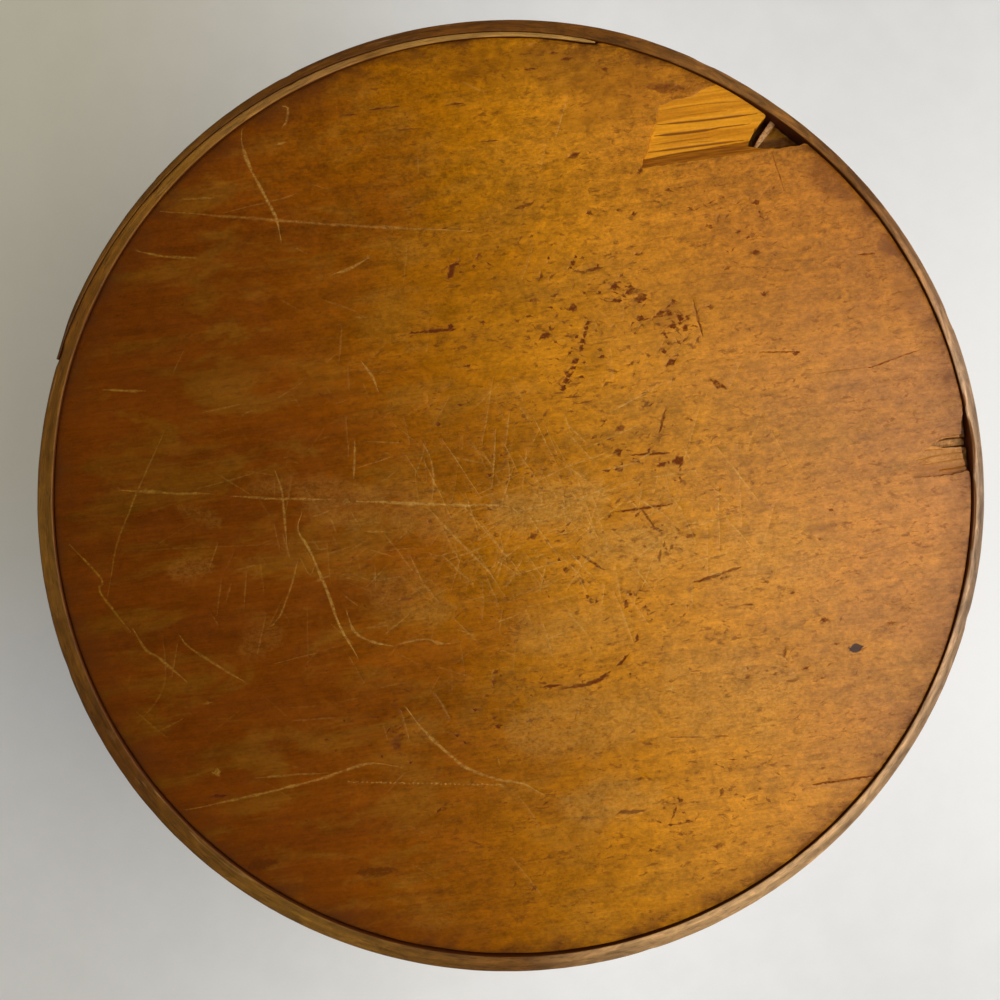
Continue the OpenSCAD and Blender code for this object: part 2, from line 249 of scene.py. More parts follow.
# Soft dark stains without a dent, pale spots and one ink spot, in the same terms. The small pale spots and
# the hazes round the scratches are wear; the broad pale spots right of the middle are painted sheen.
STAINS_PX = [
    (262, 865, 38, 17, 8, 0.8), (377, 872, 48, 14, 5, 0.8), (397, 745, 20, 24, 0, 0.4),
    (820, 528, 42, 15, 8, 0.5), (890, 246, 42, 26, -50, 0.7), (868, 208, 26, 16, -40, 0.7),
    (946, 378, 20, 12, 70, 0.6), (815, 842, 50, 18, 30, 0.9), (493, 72, 24, 14, 10, 0.6),
    (480, 188, 18, 11, 10, 0.5), (668, 88, 36, 11, 4, 1.0), (681, 98, 24, 8, 5, 0.6),
    (552, 922, 20, 10, 5, 0.5), (648, 606, 26, 26, 0, 0.3), (668, 318, 44, 34, 20, 0.35),
    (640, 460, 80, 22, 5, 0.3), (640, 520, 70, 30, 8, 0.25), (580, 350, 30, 70, -20, 0.25),
    (372, 735, 60, 60, 0, 0.25), (440, 329, 44, 12, 5, 0.4), (520, 66, 170, 56, 5, 0.42),
    (612, 84, 120, 60, 5, 0.42), (590, 118, 90, 30, 8, 0.3), (838, 178, 90, 70, -45, 0.6),
    (905, 300, 60, 40, -60, 0.3), (330, 388, 90, 40, 5, 0.3), (150, 380, 110, 46, 5, 0.3),
    (214, 372, 120, 30, 5, 0.3),
]
PALE_SPOTS_AND_SHEEN_PX = [
    (217, 772, 12, 9, 20, 1.0), (208, 703, 6, 6, 0, 0.9), (672, 688, 11, 8, 20, 0.8),
    (346, 502, 12, 9, 0, 0.7), (190, 568, 64, 30, 8, 0.42), (200, 516, 60, 26, -25, 0.35),
    (347, 503, 110, 50, 0, 0.35), (300, 486, 120, 26, 2, 0.35), (262, 640, 70, 46, 30, 0.3),
    (430, 520, 120, 60, -10, 0.36), (548, 506, 150, 64, 10, 0.52), (640, 546, 140, 70, 0, 0.44),
    (580, 724, 190, 80, 6, 0.44), (610, 800, 130, 60, 6, 0.44), (570, 630, 150, 70, 5, 0.36),
    (720, 700, 210, 120, 8, 0.36), (770, 560, 180, 90, 5, 0.32), (360, 512, 90, 60, 20, 0.34),
    (410, 600, 110, 60, -20, 0.3),
]
INK_SPOT_PX = (856, 648, 18, 12, 15, 1.0)

# Places where small dents crowd together: two ends of a line, the spread about it in pixels, and how many
CLUSTERS_PX = [
    (572, 262, 690, 332, 11, 64), (590, 320, 562, 390, 7, 22), (650, 330, 680, 370, 12, 22),
    (600, 440, 690, 470, 9, 36), (640, 505, 666, 560, 12, 22), (575, 686, 626, 658, 6, 8),
    (618, 590, 660, 612, 9, 14), (740, 200, 764, 262, 14, 10), (380, 700, 402, 746, 14, 16),
    (668, 795, 684, 830, 8, 8), (540, 330, 560, 300, 10, 8), (780, 640, 800, 690, 12, 12),
    (690, 180, 800, 240, 22, 32), (520, 300, 640, 420, 40, 56), (600, 600, 800, 800, 90, 70),
    (500, 470, 660, 600, 50, 60), (460, 240, 600, 320, 24, 24), (340, 660, 440, 760, 30, 24),
]
# Flecks and hair scratches are strewn between these, inside a circle of the lid. First come their number, and
# the middle and spread of their pixels across and down. Hairs then have the same for their directions in
# degrees, and the ranges of their length, width and strength.
STREWN_RADIUS_PX = 440
FLECKS_PX = (500, (615, 180), (490, 210))
HAIRS_PX = [
    (300, (430, 140), (545, 115), ((5, 20), (60, 30), (120, 30)), (8, 44), (1.2, 2.2), (0.25, 0.65)),
    (130, (580, 80), (535, 52), ((22, 8), (125, 14), (80, 12)), (16, 70), (1.3, 2.0), (0.5, 0.85)),
]

# Outlines of the two broken places and growth rings in them, in pixels, and their depths in millimetres
LONG_CHIP_PX = [
    (642, 168), (644, 157), (649, 147), (650, 138), (656, 124), (658, 107), (672, 101), (692, 97),
    (702, 90), (725, 82), (748, 92), (768, 106), (782, 116), (822, 138), (807, 144), (732, 155),
]
LONG_STEP_CORNERS = 6
LONG_PIT_PX = [(757, 146), (765, 132), (772, 116), (790, 116), (816, 138), (799, 144), (777, 147)]
LONG_SLOT_PX = [(749, 145), (757, 128), (769, 113), (777, 116), (766, 134), (757, 147)]
LONG_RINGS_PX = [
    (0.45, 0.5, [(657, 111), (700, 104), (742, 100)]), (0.6, 0.9, [(658, 124), (705, 119), (758, 112)]),
    (0.75, 1.0, [(655, 135), (690, 131), (718, 127)]), (0.4, 0.8, [(712, 127), (736, 124), (751, 122)]),
    (0.4, 0.6, [(652, 144), (684, 139), (713, 135)]), (0.6, 0.9, [(649, 151), (700, 144), (745, 138)]),
    (0.45, 0.8, [(646, 158), (690, 150), (726, 146)]), (0.3, 0.5, [(676, 116), (706, 112), (728, 109)]),
    (0.3, 0.5, [(690, 141), (716, 139)]),
]
SHORT_CHIP_PX = [
    (909, 472), (911, 462), (917, 454), (930, 444), (946, 437), (968, 434), (988, 434), (988, 471),
    (968, 470), (946, 475), (914, 477),
]
SHORT_SHADE_PX = (940, 462)
SHORT_PEG_SLOT_PX = [(931, 445.5), (946, 438.5), (988, 435.5), (988, 444.5), (946, 447)]
SHORT_VOID_PX = [
    (961, 392), (964, 408), (962, 424), (962, 437), (966, 457), (971, 474), (974, 488), (992, 488),
    (992, 392),
]
SHORT_RINGS_PX = [
    (0.5, 0.6, [(918, 460), (945, 454), (966, 452)]), (0.4, 0.5, [(924, 465), (946, 461), (967, 458)]),
    (0.5, 0.8, [(940, 470), (956, 468), (970, 465)]), (0.35, 0.5, [(926, 450), (945, 449)]),
]
PIT_DEPTH = 5.0
VOID_DEPTH = 2.1
SLOT_DEPTH = 7.6
# Lines from which their floors and the long one's wall fall, in pixels, and the slopes in degrees
LONG_FALL_PX = ((658, 107), (725, 83))
LONG_SLOPE = 5.5
LONG_WALL_PX = ((807, 144), (642, 168))
LONG_WALL_SLOPE = 23.0
SHORT_FALL_PX = ((905, 474), (925, 440))
SHORT_SLOPE = 4.0


def srgb(red, green, blue):
    """A colour given in the photograph's 0 to 255 scale, as linear shares with full alpha."""
    shares = [c / 255.0 for c in (red, green, blue)]
    return tuple(s / 12.92 if s <= 0.04045 else ((s + 0.055) / 1.055) ** 2.4 for s in shares) + (1.0,)


# Mesh helpers

def make_piece(name, points, faces, look, body, replaced, crease):
    """A closed mesh from points in millimetres, riding on a body in place of a CAD node. Its edges are crisp
    where two faces meet at more than crease degrees."""
    mesh = bpy.data.meshes.new(name)
    mesh.from_pydata((np.asarray(points) * MM).tolist(), [], faces)
    mesh.validate()
    mesh.shade_smooth()
    mesh.set_sharp_from_angle(angle=math.radians(crease))
    mesh.materials.append(look)
    piece = bpy.data.objects.new(name, mesh)
    scene.collection.objects.link(piece)
    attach(piece, body)
    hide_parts(replaced)
    return piece


def give(piece, name, values):
    """Stores one number, or one vector, per point for the materials to read."""
    values = np.asarray(values, np.float32)
    kind, field = ("FLOAT", "value") if values.ndim == 1 else ("FLOAT_VECTOR", "vector")
    piece.data.attributes.new(name, kind, "POINT").data.foreach_set(field, values.ravel())


def swept_faces(stations, sides):
    """Faces of a closed bar, from cross-sections in a row: its walls, then a cap at each end."""
    faces = []
    for s in range(stations - 1):
        for k in range(sides):
            n = (k + 1) % sides
            faces.append((s * sides + k, s * sides + n, (s + 1) * sides + n, (s + 1) * sides + k))
    faces.append(tuple(reversed(range(sides))))
    faces.append(tuple(range((stations - 1) * sides, stations * sides)))
    return faces


def ripple(spots, size, seed):
    """A smooth random-looking relief from -1 to 1, with waves of about the given size."""
    draw = random.Random(seed)
    x, y = np.asarray(spots, float).T
    total = 0.0
    waves = 7
    for _ in range(waves):
        way = draw.uniform(0, FULL_CIRCLE)
        pitch = size * draw.uniform(0.6, 1.7)
        phase = draw.uniform(0, FULL_CIRCLE)
        total = total + np.sin(FULL_CIRCLE * (x * math.cos(way) + y * math.sin(way)) / pitch + phase)
    return total / waves * 1.8


def along_path(points, step):
    """Points about every step along a smooth curve through the given points."""
    points = np.asarray(points, float)
    padded = np.vstack([2 * points[0] - points[1], points, 2 * points[-1] - points[-2]])
    path = []
    for a, b, c, d in zip(padded, padded[1:], padded[2:], padded[3:]):
        count = max(2, int(math.ceil(np.linalg.norm(c - b) / step)))
        for t in np.arange(count) / count:
            path.append(0.5 * (2 * b + (c - a) * t + (2 * a - 5 * b + 4 * c - d) * t ** 2
                               + (3 * b - a - 3 * c + d) * t ** 3))
    path.append(points[-1])
    return np.array(path)


TINY = 1e-9


def nearest_on(path, spots):
    """Distance from each spot to a path, and how far along the path's points the nearest place is."""
    best = np.full(len(spots), np.inf)
    where = np.zeros(len(spots))
    for i, (a, b) in enumerate(zip(path, path[1:])):
        run = b - a
        share = np.clip(((spots - a) @ run) / max(run @ run, TINY), 0, 1)
        apart = np.linalg.norm(spots - a - share[:, None] * run, axis=1)
        closer = apart < best
        best[closer] = apart[closer]
        where[closer] = i + share[closer]
    return best, where


def closed(outline):
    return np.vstack([outline, outline[:1]])


def room_in(outline, spots):
    """Distance from each spot to a closed outline, positive inside it."""
    ring = closed(outline)
    apart, _ = nearest_on(ring, spots)
    within = np.zeros(len(spots), bool)
    for (ax, ay), (bx, by) in zip(ring, ring[1:]):
        spans = (ay > spots[:, 1]) != (by > spots[:, 1])
        reach = (bx - ax) * (spots[:, 1] - ay) / (by - ay if by != ay else TINY) + ax
        within ^= spans & (spots[:, 0] < reach)
    return np.where(within, apart, -apart)


def near_box(line, margin, spots):
    """Which spots are in the box round a line, or within a margin of it."""
    low = line.min(axis=0) - margin
    high = line.max(axis=0) + margin
    return np.flatnonzero(np.all((spots >= low) & (spots <= high), axis=1))


# Marks on the lid

FINE_MARK = 0.6
SCRATCH_STEP = 1.6


@dataclass
class Mark:
    """A path with a half-width at every point, a depth, and a colour channel with its strength."""
    path: np.ndarray
    half: np.ndarray
    depth: float
    channel: str
    strength: float

    def rows(self):
        """Rows of points along the mark, for the lid's mesh to follow."""
        step = np.gradient(self.path, axis=0)
        step /= np.maximum(np.linalg.norm(step, axis=1, keepdims=True), TINY)
        side = np.column_stack([-step[:, 1], step[:, 0]]) * self.half[:, None]
        shares = (-1.0, 0.0, 1.0) if self.half.max() < FINE_MARK else (-1.0, -0.5, 0.0, 0.5, 1.0)
        return [self.path + side * share for share in shares]

    def weight(self, spots):
        """Which spots the mark reaches, and how strongly it is felt there, from 0 to 1."""
        near = near_box(self.path, self.half.max(), spots)
        apart, where = nearest_on(self.path, spots[near])
        half = np.interp(where, np.arange(len(self.half)), self.half)
        return near, np.clip(1.0 - apart / half, 0.0, 1.0)


def tapered(count, least):
    """Shares of a mark's full width at points along it: narrow at both ends."""
    share = np.linspace(0.0, 1.0, count)
    return np.clip(5.0 * np.minimum(share, 1.0 - share), least, 1.0)


def scratch(points_px, width_px, strength):
    """A pale scratch through some pixels, a little wavy and uneven in width."""
    path = along_path(all_on_lid(points_px), SCRATCH_STEP)
    path += np.column_stack([ripple(path, size=9.0, seed=3), ripple(path, size=9.0, seed=4)]) * 0.12
    uneven = 1.0 + 0.35 * ripple(path, size=6.0, seed=5)
    half = 0.74 * width_px * mm_per_px * tapered(len(path), least=0.35) * uneven
    return Mark(path, np.maximum(half, 0.12), 0.02 + 0.035 * strength, "pale", strength)


def spot(place_px, channel, depth, ragged=1.0, least=5):
    """A short mark, ragged or smooth: pixel, length and width in pixels, tilt in degrees, strength."""
    x, y, length, width, tilt, strength = place_px
    centre = np.array(on_lid(x, y))
    half = 0.5 * width * mm_per_px
    reach = max(0.5 * length * mm_per_px - half * 0.6, 0.2)
    way = np.array([math.cos(math.radians(tilt)), math.sin(math.radians(tilt))])
    across = np.array([-way[1], way[0]])
    shares = np.linspace(-1.0, 1.0, max(least, int(2 * reach / 0.8) + 1))
    bends = [chance.uniform(-0.25, 0.25) * half * ragged for _ in shares]
    path = np.array([centre + way * reach * s + across * b for s, b in zip(shares, bends)])
    uneven = [1.0 + ragged * chance.uniform(-0.4, 0.25) for _ in shares]
    taper = [max(0.35, math.sqrt(1.0 - abs(s) ** 3)) * u for s, u in zip(shares, uneven)]
    return Mark(path, half * np.array(taper), depth, channel, strength)


def well_inside(*places_px):
    """Whether marks may be strewn at all of these pixels."""
    return all(math.dist(p, LID_CENTRE_PX) < STREWN_RADIUS_PX for p in places_px)


def stray_marks():
    """Small flecks and hair scratches between the ones that the photograph shows plainly."""
    marks = []
    count, across, down = FLECKS_PX
    for _ in range(count):
        x, y = chance.gauss(*across), chance.gauss(*down)
        size = (chance.uniform(3.0, 8.0), chance.uniform(2.0, 3.8))
        place = (x, y, *size, GRAIN_TILT + chance.gauss(0, 30), chance.uniform(0.25, 0.8))
        if well_inside((x, y)):
            marks.append(spot(place, "fleck", depth=0.02))
    for x0, y0, x1, y1, spread, count in CLUSTERS_PX:
        for _ in range(count):
            share = chance.random()
            x = x0 + (x1 - x0) * share + chance.gauss(0, spread)
            y = y0 + (y1 - y0) * share + chance.gauss(0, spread)
            size = (chance.uniform(3.4, 8.2), chance.uniform(2.4, 4.8))
            place = (x, y, *size, chance.uniform(-40, 60), chance.uniform(0.35, 1.0))
            marks.append(spot(place, chance.choice(("dark", "dark", "fleck")), depth=0.03))
    for count, across, down, ways, length, width, strength in HAIRS_PX:
        for _ in range(count):
            x, y = chance.gauss(*across), chance.gauss(*down)
            way = math.radians(chance.choice([chance.gauss(*w) for w in ways]))
            reach = chance.uniform(*length)
            end = (x + reach * math.cos(way), y - reach * math.sin(way))
            if well_inside((x, y), end):
                marks.append(scratch([(x, y), end], chance.uniform(*width), chance.uniform(*strength)))
    return marks


def lid_marks():
    """All marks on the lid, in the order in which they draw on chance."""
    marks = [scratch(points, width, strength) for width, strength, points in SCRATCHES_PX]
    (x0, y0), (x1, y1), pitch = DOTTED_PX
    for x in np.arange(x0, x1, pitch):
        y = y0 + (y1 - y0) * (x - x0) / (x1 - x0)
        marks.append(spot((x, y, *DOT_PX), "pale", depth=0.08))
    for x, y, length, width, tilt, strength in DENTS_PX:
        place = (x, y, DENT_GROWTH * length, DENT_GROWTH * width, tilt, strength)
        marks.append(spot(place, "dark", depth=0.02 + 0.05 * strength))
    marks += [spot(place, "stain", depth=0.0) for place in STAINS_PX]
    # pale spots: worn spots, and broad patches of painted sheen
    marks += [spot(place, "pale", depth=0.04) for place in PALE_SPOTS_AND_SHEEN_PX]
    marks.append(spot(INK_SPOT_PX, "ink", depth=0.06, ragged=0.15, least=13))
    return marks + stray_marks()


# The two broken places on the lid

class Break:
    """A place where wood has split away: its outline in millimetres, roughened, functions for its depth and
    paint at each spot, and the width of its broken lip."""

    def __init__(self, outline_px, depth, paint, lip, roughness=0.12):
        corners_mm = all_on_lid(outline_px)
        ring = []
        for a, b in zip(corners_mm, corners_mm[1:] + corners_mm[:1]):
            count = max(1, int(math.dist(a, b) / 0.9))
            for t in np.arange(count) / count:
                ring.append([p + (q - p) * t + chance.gauss(0, roughness) for p, q in zip(a, b)])
        self.outline = np.array(ring)
        self.depth = depth
        self.lip = lip
        self.paint = paint

    def rows(self):
        """The foot and the lip of the broken edge."""
        step = np.roll(self.outline, -1, axis=0) - np.roll(self.outline, 1, axis=0)
        out = np.column_stack([step[:, 1], -step[:, 0]])
        out /= np.linalg.norm(out, axis=1, keepdims=True)
        out[room_in(self.outline, self.outline + out * 0.05) > 0] *= -1
        return [closed(self.outline), closed(self.outline + out * self.lip)]

    def grid(self, pitch):
        """Spots inside the outline, close enough together for its broken surface."""
        low = self.outline.min(axis=0)
        high = self.outline.max(axis=0)
        xs, ys = np.meshgrid(np.arange(low[0], high[0], pitch), np.arange(low[1], high[1], pitch))
        spots = np.column_stack([xs.ravel(), ys.ravel()])
        return spots[room_in(self.outline, spots) > pitch * 0.4]

    def weight(self, spots):
        """Which spots are in the break, and how fully, from 0 at the lip to 1 at the foot."""
        near = near_box(self.outline, self.lip, spots)
        return near, np.clip(1.0 + room_in(self.outline, spots[near]) / self.lip, 0.0, 1.0)


def drop_from(line_px, slope):
    """Depth that grows by a slope, in degrees, to the right of a line between two pixels."""
    a, b = np.array(all_on_lid(line_px))
    way = (b - a) / np.linalg.norm(b - a)
    out = np.array([way[1], -way[0]])
    return lambda spots: np.maximum((spots - a) @ out, 0.0) * math.tan(math.radians(slope))


def ridged(rings_px):
    """Small ridges along growth rings, given by width, strength and points: mesh rows and their relief."""
    rings = []
    for size, strength, points in rings_px:
        line = along_path(all_on_lid(points), 1.0)
        half = size * tapered(len(line), least=0.3)
        rings.append(Mark(line, half, depth=0.0, channel="ring", strength=strength))

    def relief(spots):
        dark = np.zeros(len(spots))
        for ring in rings:
            near, weight = ring.weight(spots)
            dark[near] = np.maximum(dark[near], ring.strength * weight)
        return dark
    return [row for ring in rings for row in ring.rows()], relief


long_drop = drop_from(LONG_FALL_PX, LONG_SLOPE)
long_wall_up = drop_from(LONG_WALL_PX, LONG_WALL_SLOPE)
short_drop = drop_from(SHORT_FALL_PX, SHORT_SLOPE)
long_ring_rows, long_ring_relief = ridged(LONG_RINGS_PX)
short_ring_rows, short_ring_relief = ridged(SHORT_RINGS_PX)
long_step = np.array(all_on_lid(LONG_CHIP_PX[:LONG_STEP_CORNERS]))
short_shade_y = on_lid(*SHORT_SHADE_PX)[1]


# Floors and paints of the broken places: depths below the lid's top, and strengths of the colour channels

def long_fall(spots):
    """Depth of the long chip's floor, before its wall and ridges."""
    return long_drop(spots) + 0.06


def long_floor(spots):
    return np.minimum(long_fall(spots), long_wall_up(spots)) + 0.16 * long_ring_relief(spots)


def long_paint(spots):
    wall = np.clip(3.0 * (long_fall(spots) - long_wall_up(spots)), 0.0, 1.0)
    step = 0.5 * np.clip(1.0 - nearest_on(long_step, spots)[0] / 0.6, 0.0, 1.0)
    return {"fresh": np.ones(len(spots)), "ring": np.maximum(long_ring_relief(spots), step), "wall": wall}


def short_floor(spots):
    return 0.3 + short_drop(spots) + 0.3 * short_ring_relief(spots)


def short_paint(spots):
    clear = np.clip(short_drop(spots) / 0.25, 0.1, 1.0)
    # painted shade: the chip's floor is painted darker in its lower half, through the stain channel, and
    # paler above
    shade = np.clip((short_shade_y - spots[:, 1]) / 1.5, 0.0, 1.0)
    ring = 0.8 * clear * short_ring_relief(spots)
    pale = 0.3 * clear * (1.0 - shade)
    return {"pale": pale, "fresh": 0.1 * clear, "ring": ring, "stain": 0.5 * clear * shade}


def pit_floor(depth):
    return lambda spots: depth + 0.35 * ripple(spots, size=3.0, seed=9)


# The pits, peg slots and the void behind the short chip are painted dark: painted shade in the holes.
def pit_shade_paint(share):
    return lambda spots: {"pit": np.full(len(spots), share)}


dim_pit_shade = pit_shade_paint(0.78)
deep_pit_shade = pit_shade_paint(1.0)
BREAKS = [
    Break(LONG_CHIP_PX, long_floor, long_paint, lip=0.25),
    Break(LONG_PIT_PX, pit_floor(PIT_DEPTH), dim_pit_shade, lip=0.5),
    Break(LONG_SLOT_PX, pit_floor(SLOT_DEPTH), deep_pit_shade, lip=0.3),
    Break(SHORT_CHIP_PX, short_floor, short_paint, lip=0.25),
    Break(SHORT_PEG_SLOT_PX, pit_floor(PIT_DEPTH), dim_pit_shade, lip=0.2, roughness=0.06),
    Break(SHORT_VOID_PX, pit_floor(VOID_DEPTH), dim_pit_shade, lip=0.3),
]


# Boards

RIM_POINTS = 720
CHANNELS = ("pale", "dark", "fleck", "stain", "ink", "fresh", "ring", "wall", "pit")
HIDDEN_BY_BREAKS = ("pale", "dark", "fleck", "stain")
ARRIS_INSETS = (0.3, 0.7, 1.3, 2.4)
FIELD_INSET = 3.2
UNDER_PITCH = 4.0
BREAK_PITCH = 0.75
WALL_SHARES = (0.2, 0.5, 0.8)
BOARD_CREASE = 38


class Plane:
    """Points and lines gathered for one face of a board, and triangulated together."""

    def __init__(self, rim):
        self.points = [tuple(p) for p in rim]
        count = len(rim)
        self.edges = [(i, (i + 1) % count) for i in range(count)]
        self.limits = np.linalg.norm(rim, axis=1) - 0.06

    def add(self, row, joined):
        """Adds a row's points that are inside the rim, with lines between neighbours if they are joined."""
        last = None
        for x, y in row:
            side = round(math.atan2(y, x) / FULL_CIRCLE * len(self.limits)) % len(self.limits)
            if math.hypot(x, y) > self.limits[side]:
                last = None
                continue
            self.points.append((x, y))
            if joined and last is not None:
                self.edges.append((last, len(self.points) - 1))
            last = len(self.points) - 1

    def add_lines(self, rows):
        for row in rows:
            self.add(row, True)

    def mesh(self):
        """Final points, triangles, and where each point of the rim went."""
        points, _, faces, origins, _, _ = delaunay_2d_cdt(self.points, self.edges, [], 0, 1e-5)
        went = {}
        for index, sources in enumerate(origins):
            for source in sources:
                went[source] = index
        return np.array([(p[0], p[1]) for p in points]), faces, [went[i] for i in range(RIM_POINTS)]


def hex_spots(radius, pitch):
    """Slightly scattered spots in a hexagonal pattern, inside a circle."""
    spots = []
    for row, y in enumerate(np.arange(-radius, radius, pitch * 0.866)):
        shift = 0.5 * pitch * (row % 2)
        for x in np.arange(-radius, radius, pitch) + shift:
            if math.hypot(x, y) < radius:
                spots.append((x + chance.uniform(-0.2, 0.2) * pitch, y + chance.uniform(-0.2, 0.2) * pitch))
    return spots


def fading(inset, reach):
    """1 at a board's edge, falling to 0 at some reach inside it."""
    return np.clip(1.0 - inset / reach, 0.0, 1.0)


def board_piece(name, node, body, look, edge_radius, top_pitch, marks, breaks, extra_rows, wear, finish):
    """A round board: a worn top with its marks and broken places, a planed underside and a sawn edge."""
    low, high = corners(node)
    angles = np.linspace(0, FULL_CIRCLE, RIM_POINTS, endpoint=False)
    ways = np.column_stack([np.cos(angles), np.sin(angles)])
    radii = edge_radius(np.degrees(angles))

    def face(insets, pitch):
        """A plane with rings of points inside its edge and a field of points within them."""
        plane = Plane(ways * radii[:, None])
        for inset in insets:
            plane.add(ways * (radii - inset)[:, None], False)
        plane.add(hex_spots(radii.min() - FIELD_INSET, pitch), False)
        return plane

    upper = face(ARRIS_INSETS, top_pitch)
    for mark in marks:
        upper.add_lines(mark.rows())
    for broken in breaks:
        upper.add_lines(broken.rows())
        upper.add(broken.grid(BREAK_PITCH), False)
    upper.add_lines(extra_rows)
    spots, top_faces, top_loop = upper.mesh()

    channels = {key: np.zeros(len(spots)) for key in CHANNELS}
    around = np.arctan2(spots[:, 1], spots[:, 0])
    inset = np.interp(around, angles, radii, period=FULL_CIRCLE) - np.linalg.norm(spots, axis=1)
    relief = 0.09 * ripple(spots * (1.0, 2.0), size=60.0, seed=11) - wear * fading(inset, 1.5) ** 2
    for mark in marks:
        near, weight = mark.weight(spots)
        weight = np.minimum(weight * 1.6, 1.0)
        relief[near] -= mark.depth * weight
        channel = channels[mark.channel]
        channel[near] = np.maximum(channel[near], mark.strength * weight)
    for broken in breaks:
        near, weight = broken.weight(spots)
        relief[near] = np.minimum(relief[near], -broken.depth(spots[near]) * weight)
        for key in HIDDEN_BY_BREAKS:
            channels[key][near] *= 1.0 - weight
        for key, values in broken.paint(spots[near]).items():
            channels[key][near] = np.maximum(channels[key][near], weight * values)

    under, low_faces, low_loop = face(ARRIS_INSETS[1:], UNDER_PITCH).mesh()
    under_relief = 0.3 * fading(radii.mean() - np.linalg.norm(under, axis=1), 1.4) ** 2
    under_relief += 0.05 * (1.0 + ripple(under * (0.15, 1.0), size=14.0, seed=12))

    top_points = np.column_stack([spots, high[2] + np.minimum(relief, 0.0)])
    low_points = np.column_stack([under, low[2] + under_relief])
    top_edge = top_points[top_loop]
    walls = [top_edge + (low_points[low_loop] - top_edge) * share for share in WALL_SHARES]
    points = np.vstack([top_points, low_points] + walls)
    first_low = len(top_points)
    first_wall = first_low + len(low_points)
    faces = [tuple(f) for f in top_faces]
    faces += [tuple(first_low + i for i in reversed(f)) for f in low_faces]
    loops = [top_loop]
    loops += [list(range(first, first + RIM_POINTS)) for first in range(first_wall, len(points), RIM_POINTS)]
    loops.append([first_low + i for i in low_loop])
    for over, beneath in zip(loops, loops[1:]):
        faces += zip(over, beneath, beneath[1:] + beneath[:1], over[1:] + over[:1])

    piece = make_piece(name, points, faces, look, body, node, BOARD_CREASE)
    rest = len(points) - len(spots)
    # The board's sawn edge, which shows only down the gap by the rim, is painted dark with the pits' painted
    # shade.
    walled = np.append(np.zeros(len(low_points)), np.ones(len(points) - first_wall))
    for key, values in channels.items():
        give(piece, key, np.append(values, 0.7 * walled if key == "pit" else np.zeros(rest)))
    give(piece, "finish", np.append(np.full(len(spots), finish), walled * finish))
    give(piece, "edge", np.append(fading(inset, 9.0), np.ones(rest)))


# How the lid departs from an even circle, in millimetres and degrees
UNEVEN = 0.85
THIN_AT = 32.0
BULGE = 1.4
BULGE_AT = 232.0
BULGE_SPREAD = 75.0
BULGE_INSIDE = 0.85
FEATHER_TURN = 6.0
FEATHER_TIP = 0.4
# The gap between the lid's board and its rim, in millimetres, at directions in degrees
GAP_AT = [0, 20, 62, 70, 82, 165, 200, 245, 265, 285, 300, 330, 360]
GAP_WIDTHS = [0.46, 0.34, 0.4, 0.12, 0.12, 0.25, 0.55, 0.8, 0.95, 0.82, 0.55, 0.4, 0.46]


def uneven_rim(turn):
    """How far the rim's inner face stands out from its even circle: the rim is thin at the upper right."""
    return UNEVEN * lid_hoop.single(turn) * np.cos(np.radians(turn + lid_hoop.lap_start - THIN_AT))


def lid_bulge(angle):
    """The lid is a little out of round: it swells towards the lower left of the photograph."""
    return BULGE * smooth(1.0 - np.abs(np.asarray(angle) % TURN - BULGE_AT) / BULGE_SPREAD)


def at_tip(turn):
    """1 at the rim's inner tip, falling to 0 a little way along, where the tip is blunt."""
    return 1.0 - smooth(turn / 1.6)


def lid_edge_radius(angle):
    """The board follows the rim, with a gap that is widest at the bottom of the photograph."""
    turn = lid_hoop.turn_at(angle)
    way = np.radians(angle)
    inner = lid_hoop.inner_r + lid_hoop.rise(turn) + uneven_rim(turn) + BULGE_INSIDE * lid_bulge(angle)
    inner = np.where(turn < TURN / 2, inner, np.minimum(inner, lid_hoop.inner_r + (TURN - turn) * 2.4))
    inner = inner + 0.36 * at_tip(turn)
    return inner - np.interp(angle, GAP_AT, GAP_WIDTHS) + 0.05 * np.sin(41 * way) * np.sin(3 * way)


def bottom_edge_radius(angle):
    """The bottom fits its strip closely, and is only roughly round."""
    way = np.radians(angle)
    return bottom_r - 0.12 + 0.1 * np.sin(2 * way) + 0.03 * np.sin(37 * way)


# Bent strips

HOOP_CREASE = 50
LOW_ROUND = 0.7
ROUND_STEPS = 4
EDGE_COLUMNS = 5
WORN_REACH = 2.6


def section(thick, height, round_out, round_in, round_low, rows):
    """Closed outline of a strip's cross-section: across from the inner face, and up from the lower edge."""
    arcs = [
        (thick - round_low, round_low, round_low, -90), (thick - round_out, height - round_out, round_out, 0),
        (round_in, height - round_in, round_in, 90), (round_low, round_low, round_low, 180),
    ]
    fans = []
    for across, up, radius, start in arcs:
        turns = [math.radians(start + 90 * k / ROUND_STEPS) for k in range(ROUND_STEPS + 1)]
        fans.append([(across + radius * math.cos(t), up + radius * math.sin(t)) for t in turns])
    outline = []
    for fan, following, count in zip(fans, fans[1:] + fans[:1], (rows, EDGE_COLUMNS) * 2):
        outline += fan
        (ax, ay), (bx, by) = fan[-1], following[0]
        outline += [(ax + (bx - ax) * k / count, ay + (by - ay) * k / count) for k in range(1, count)]
    return outline


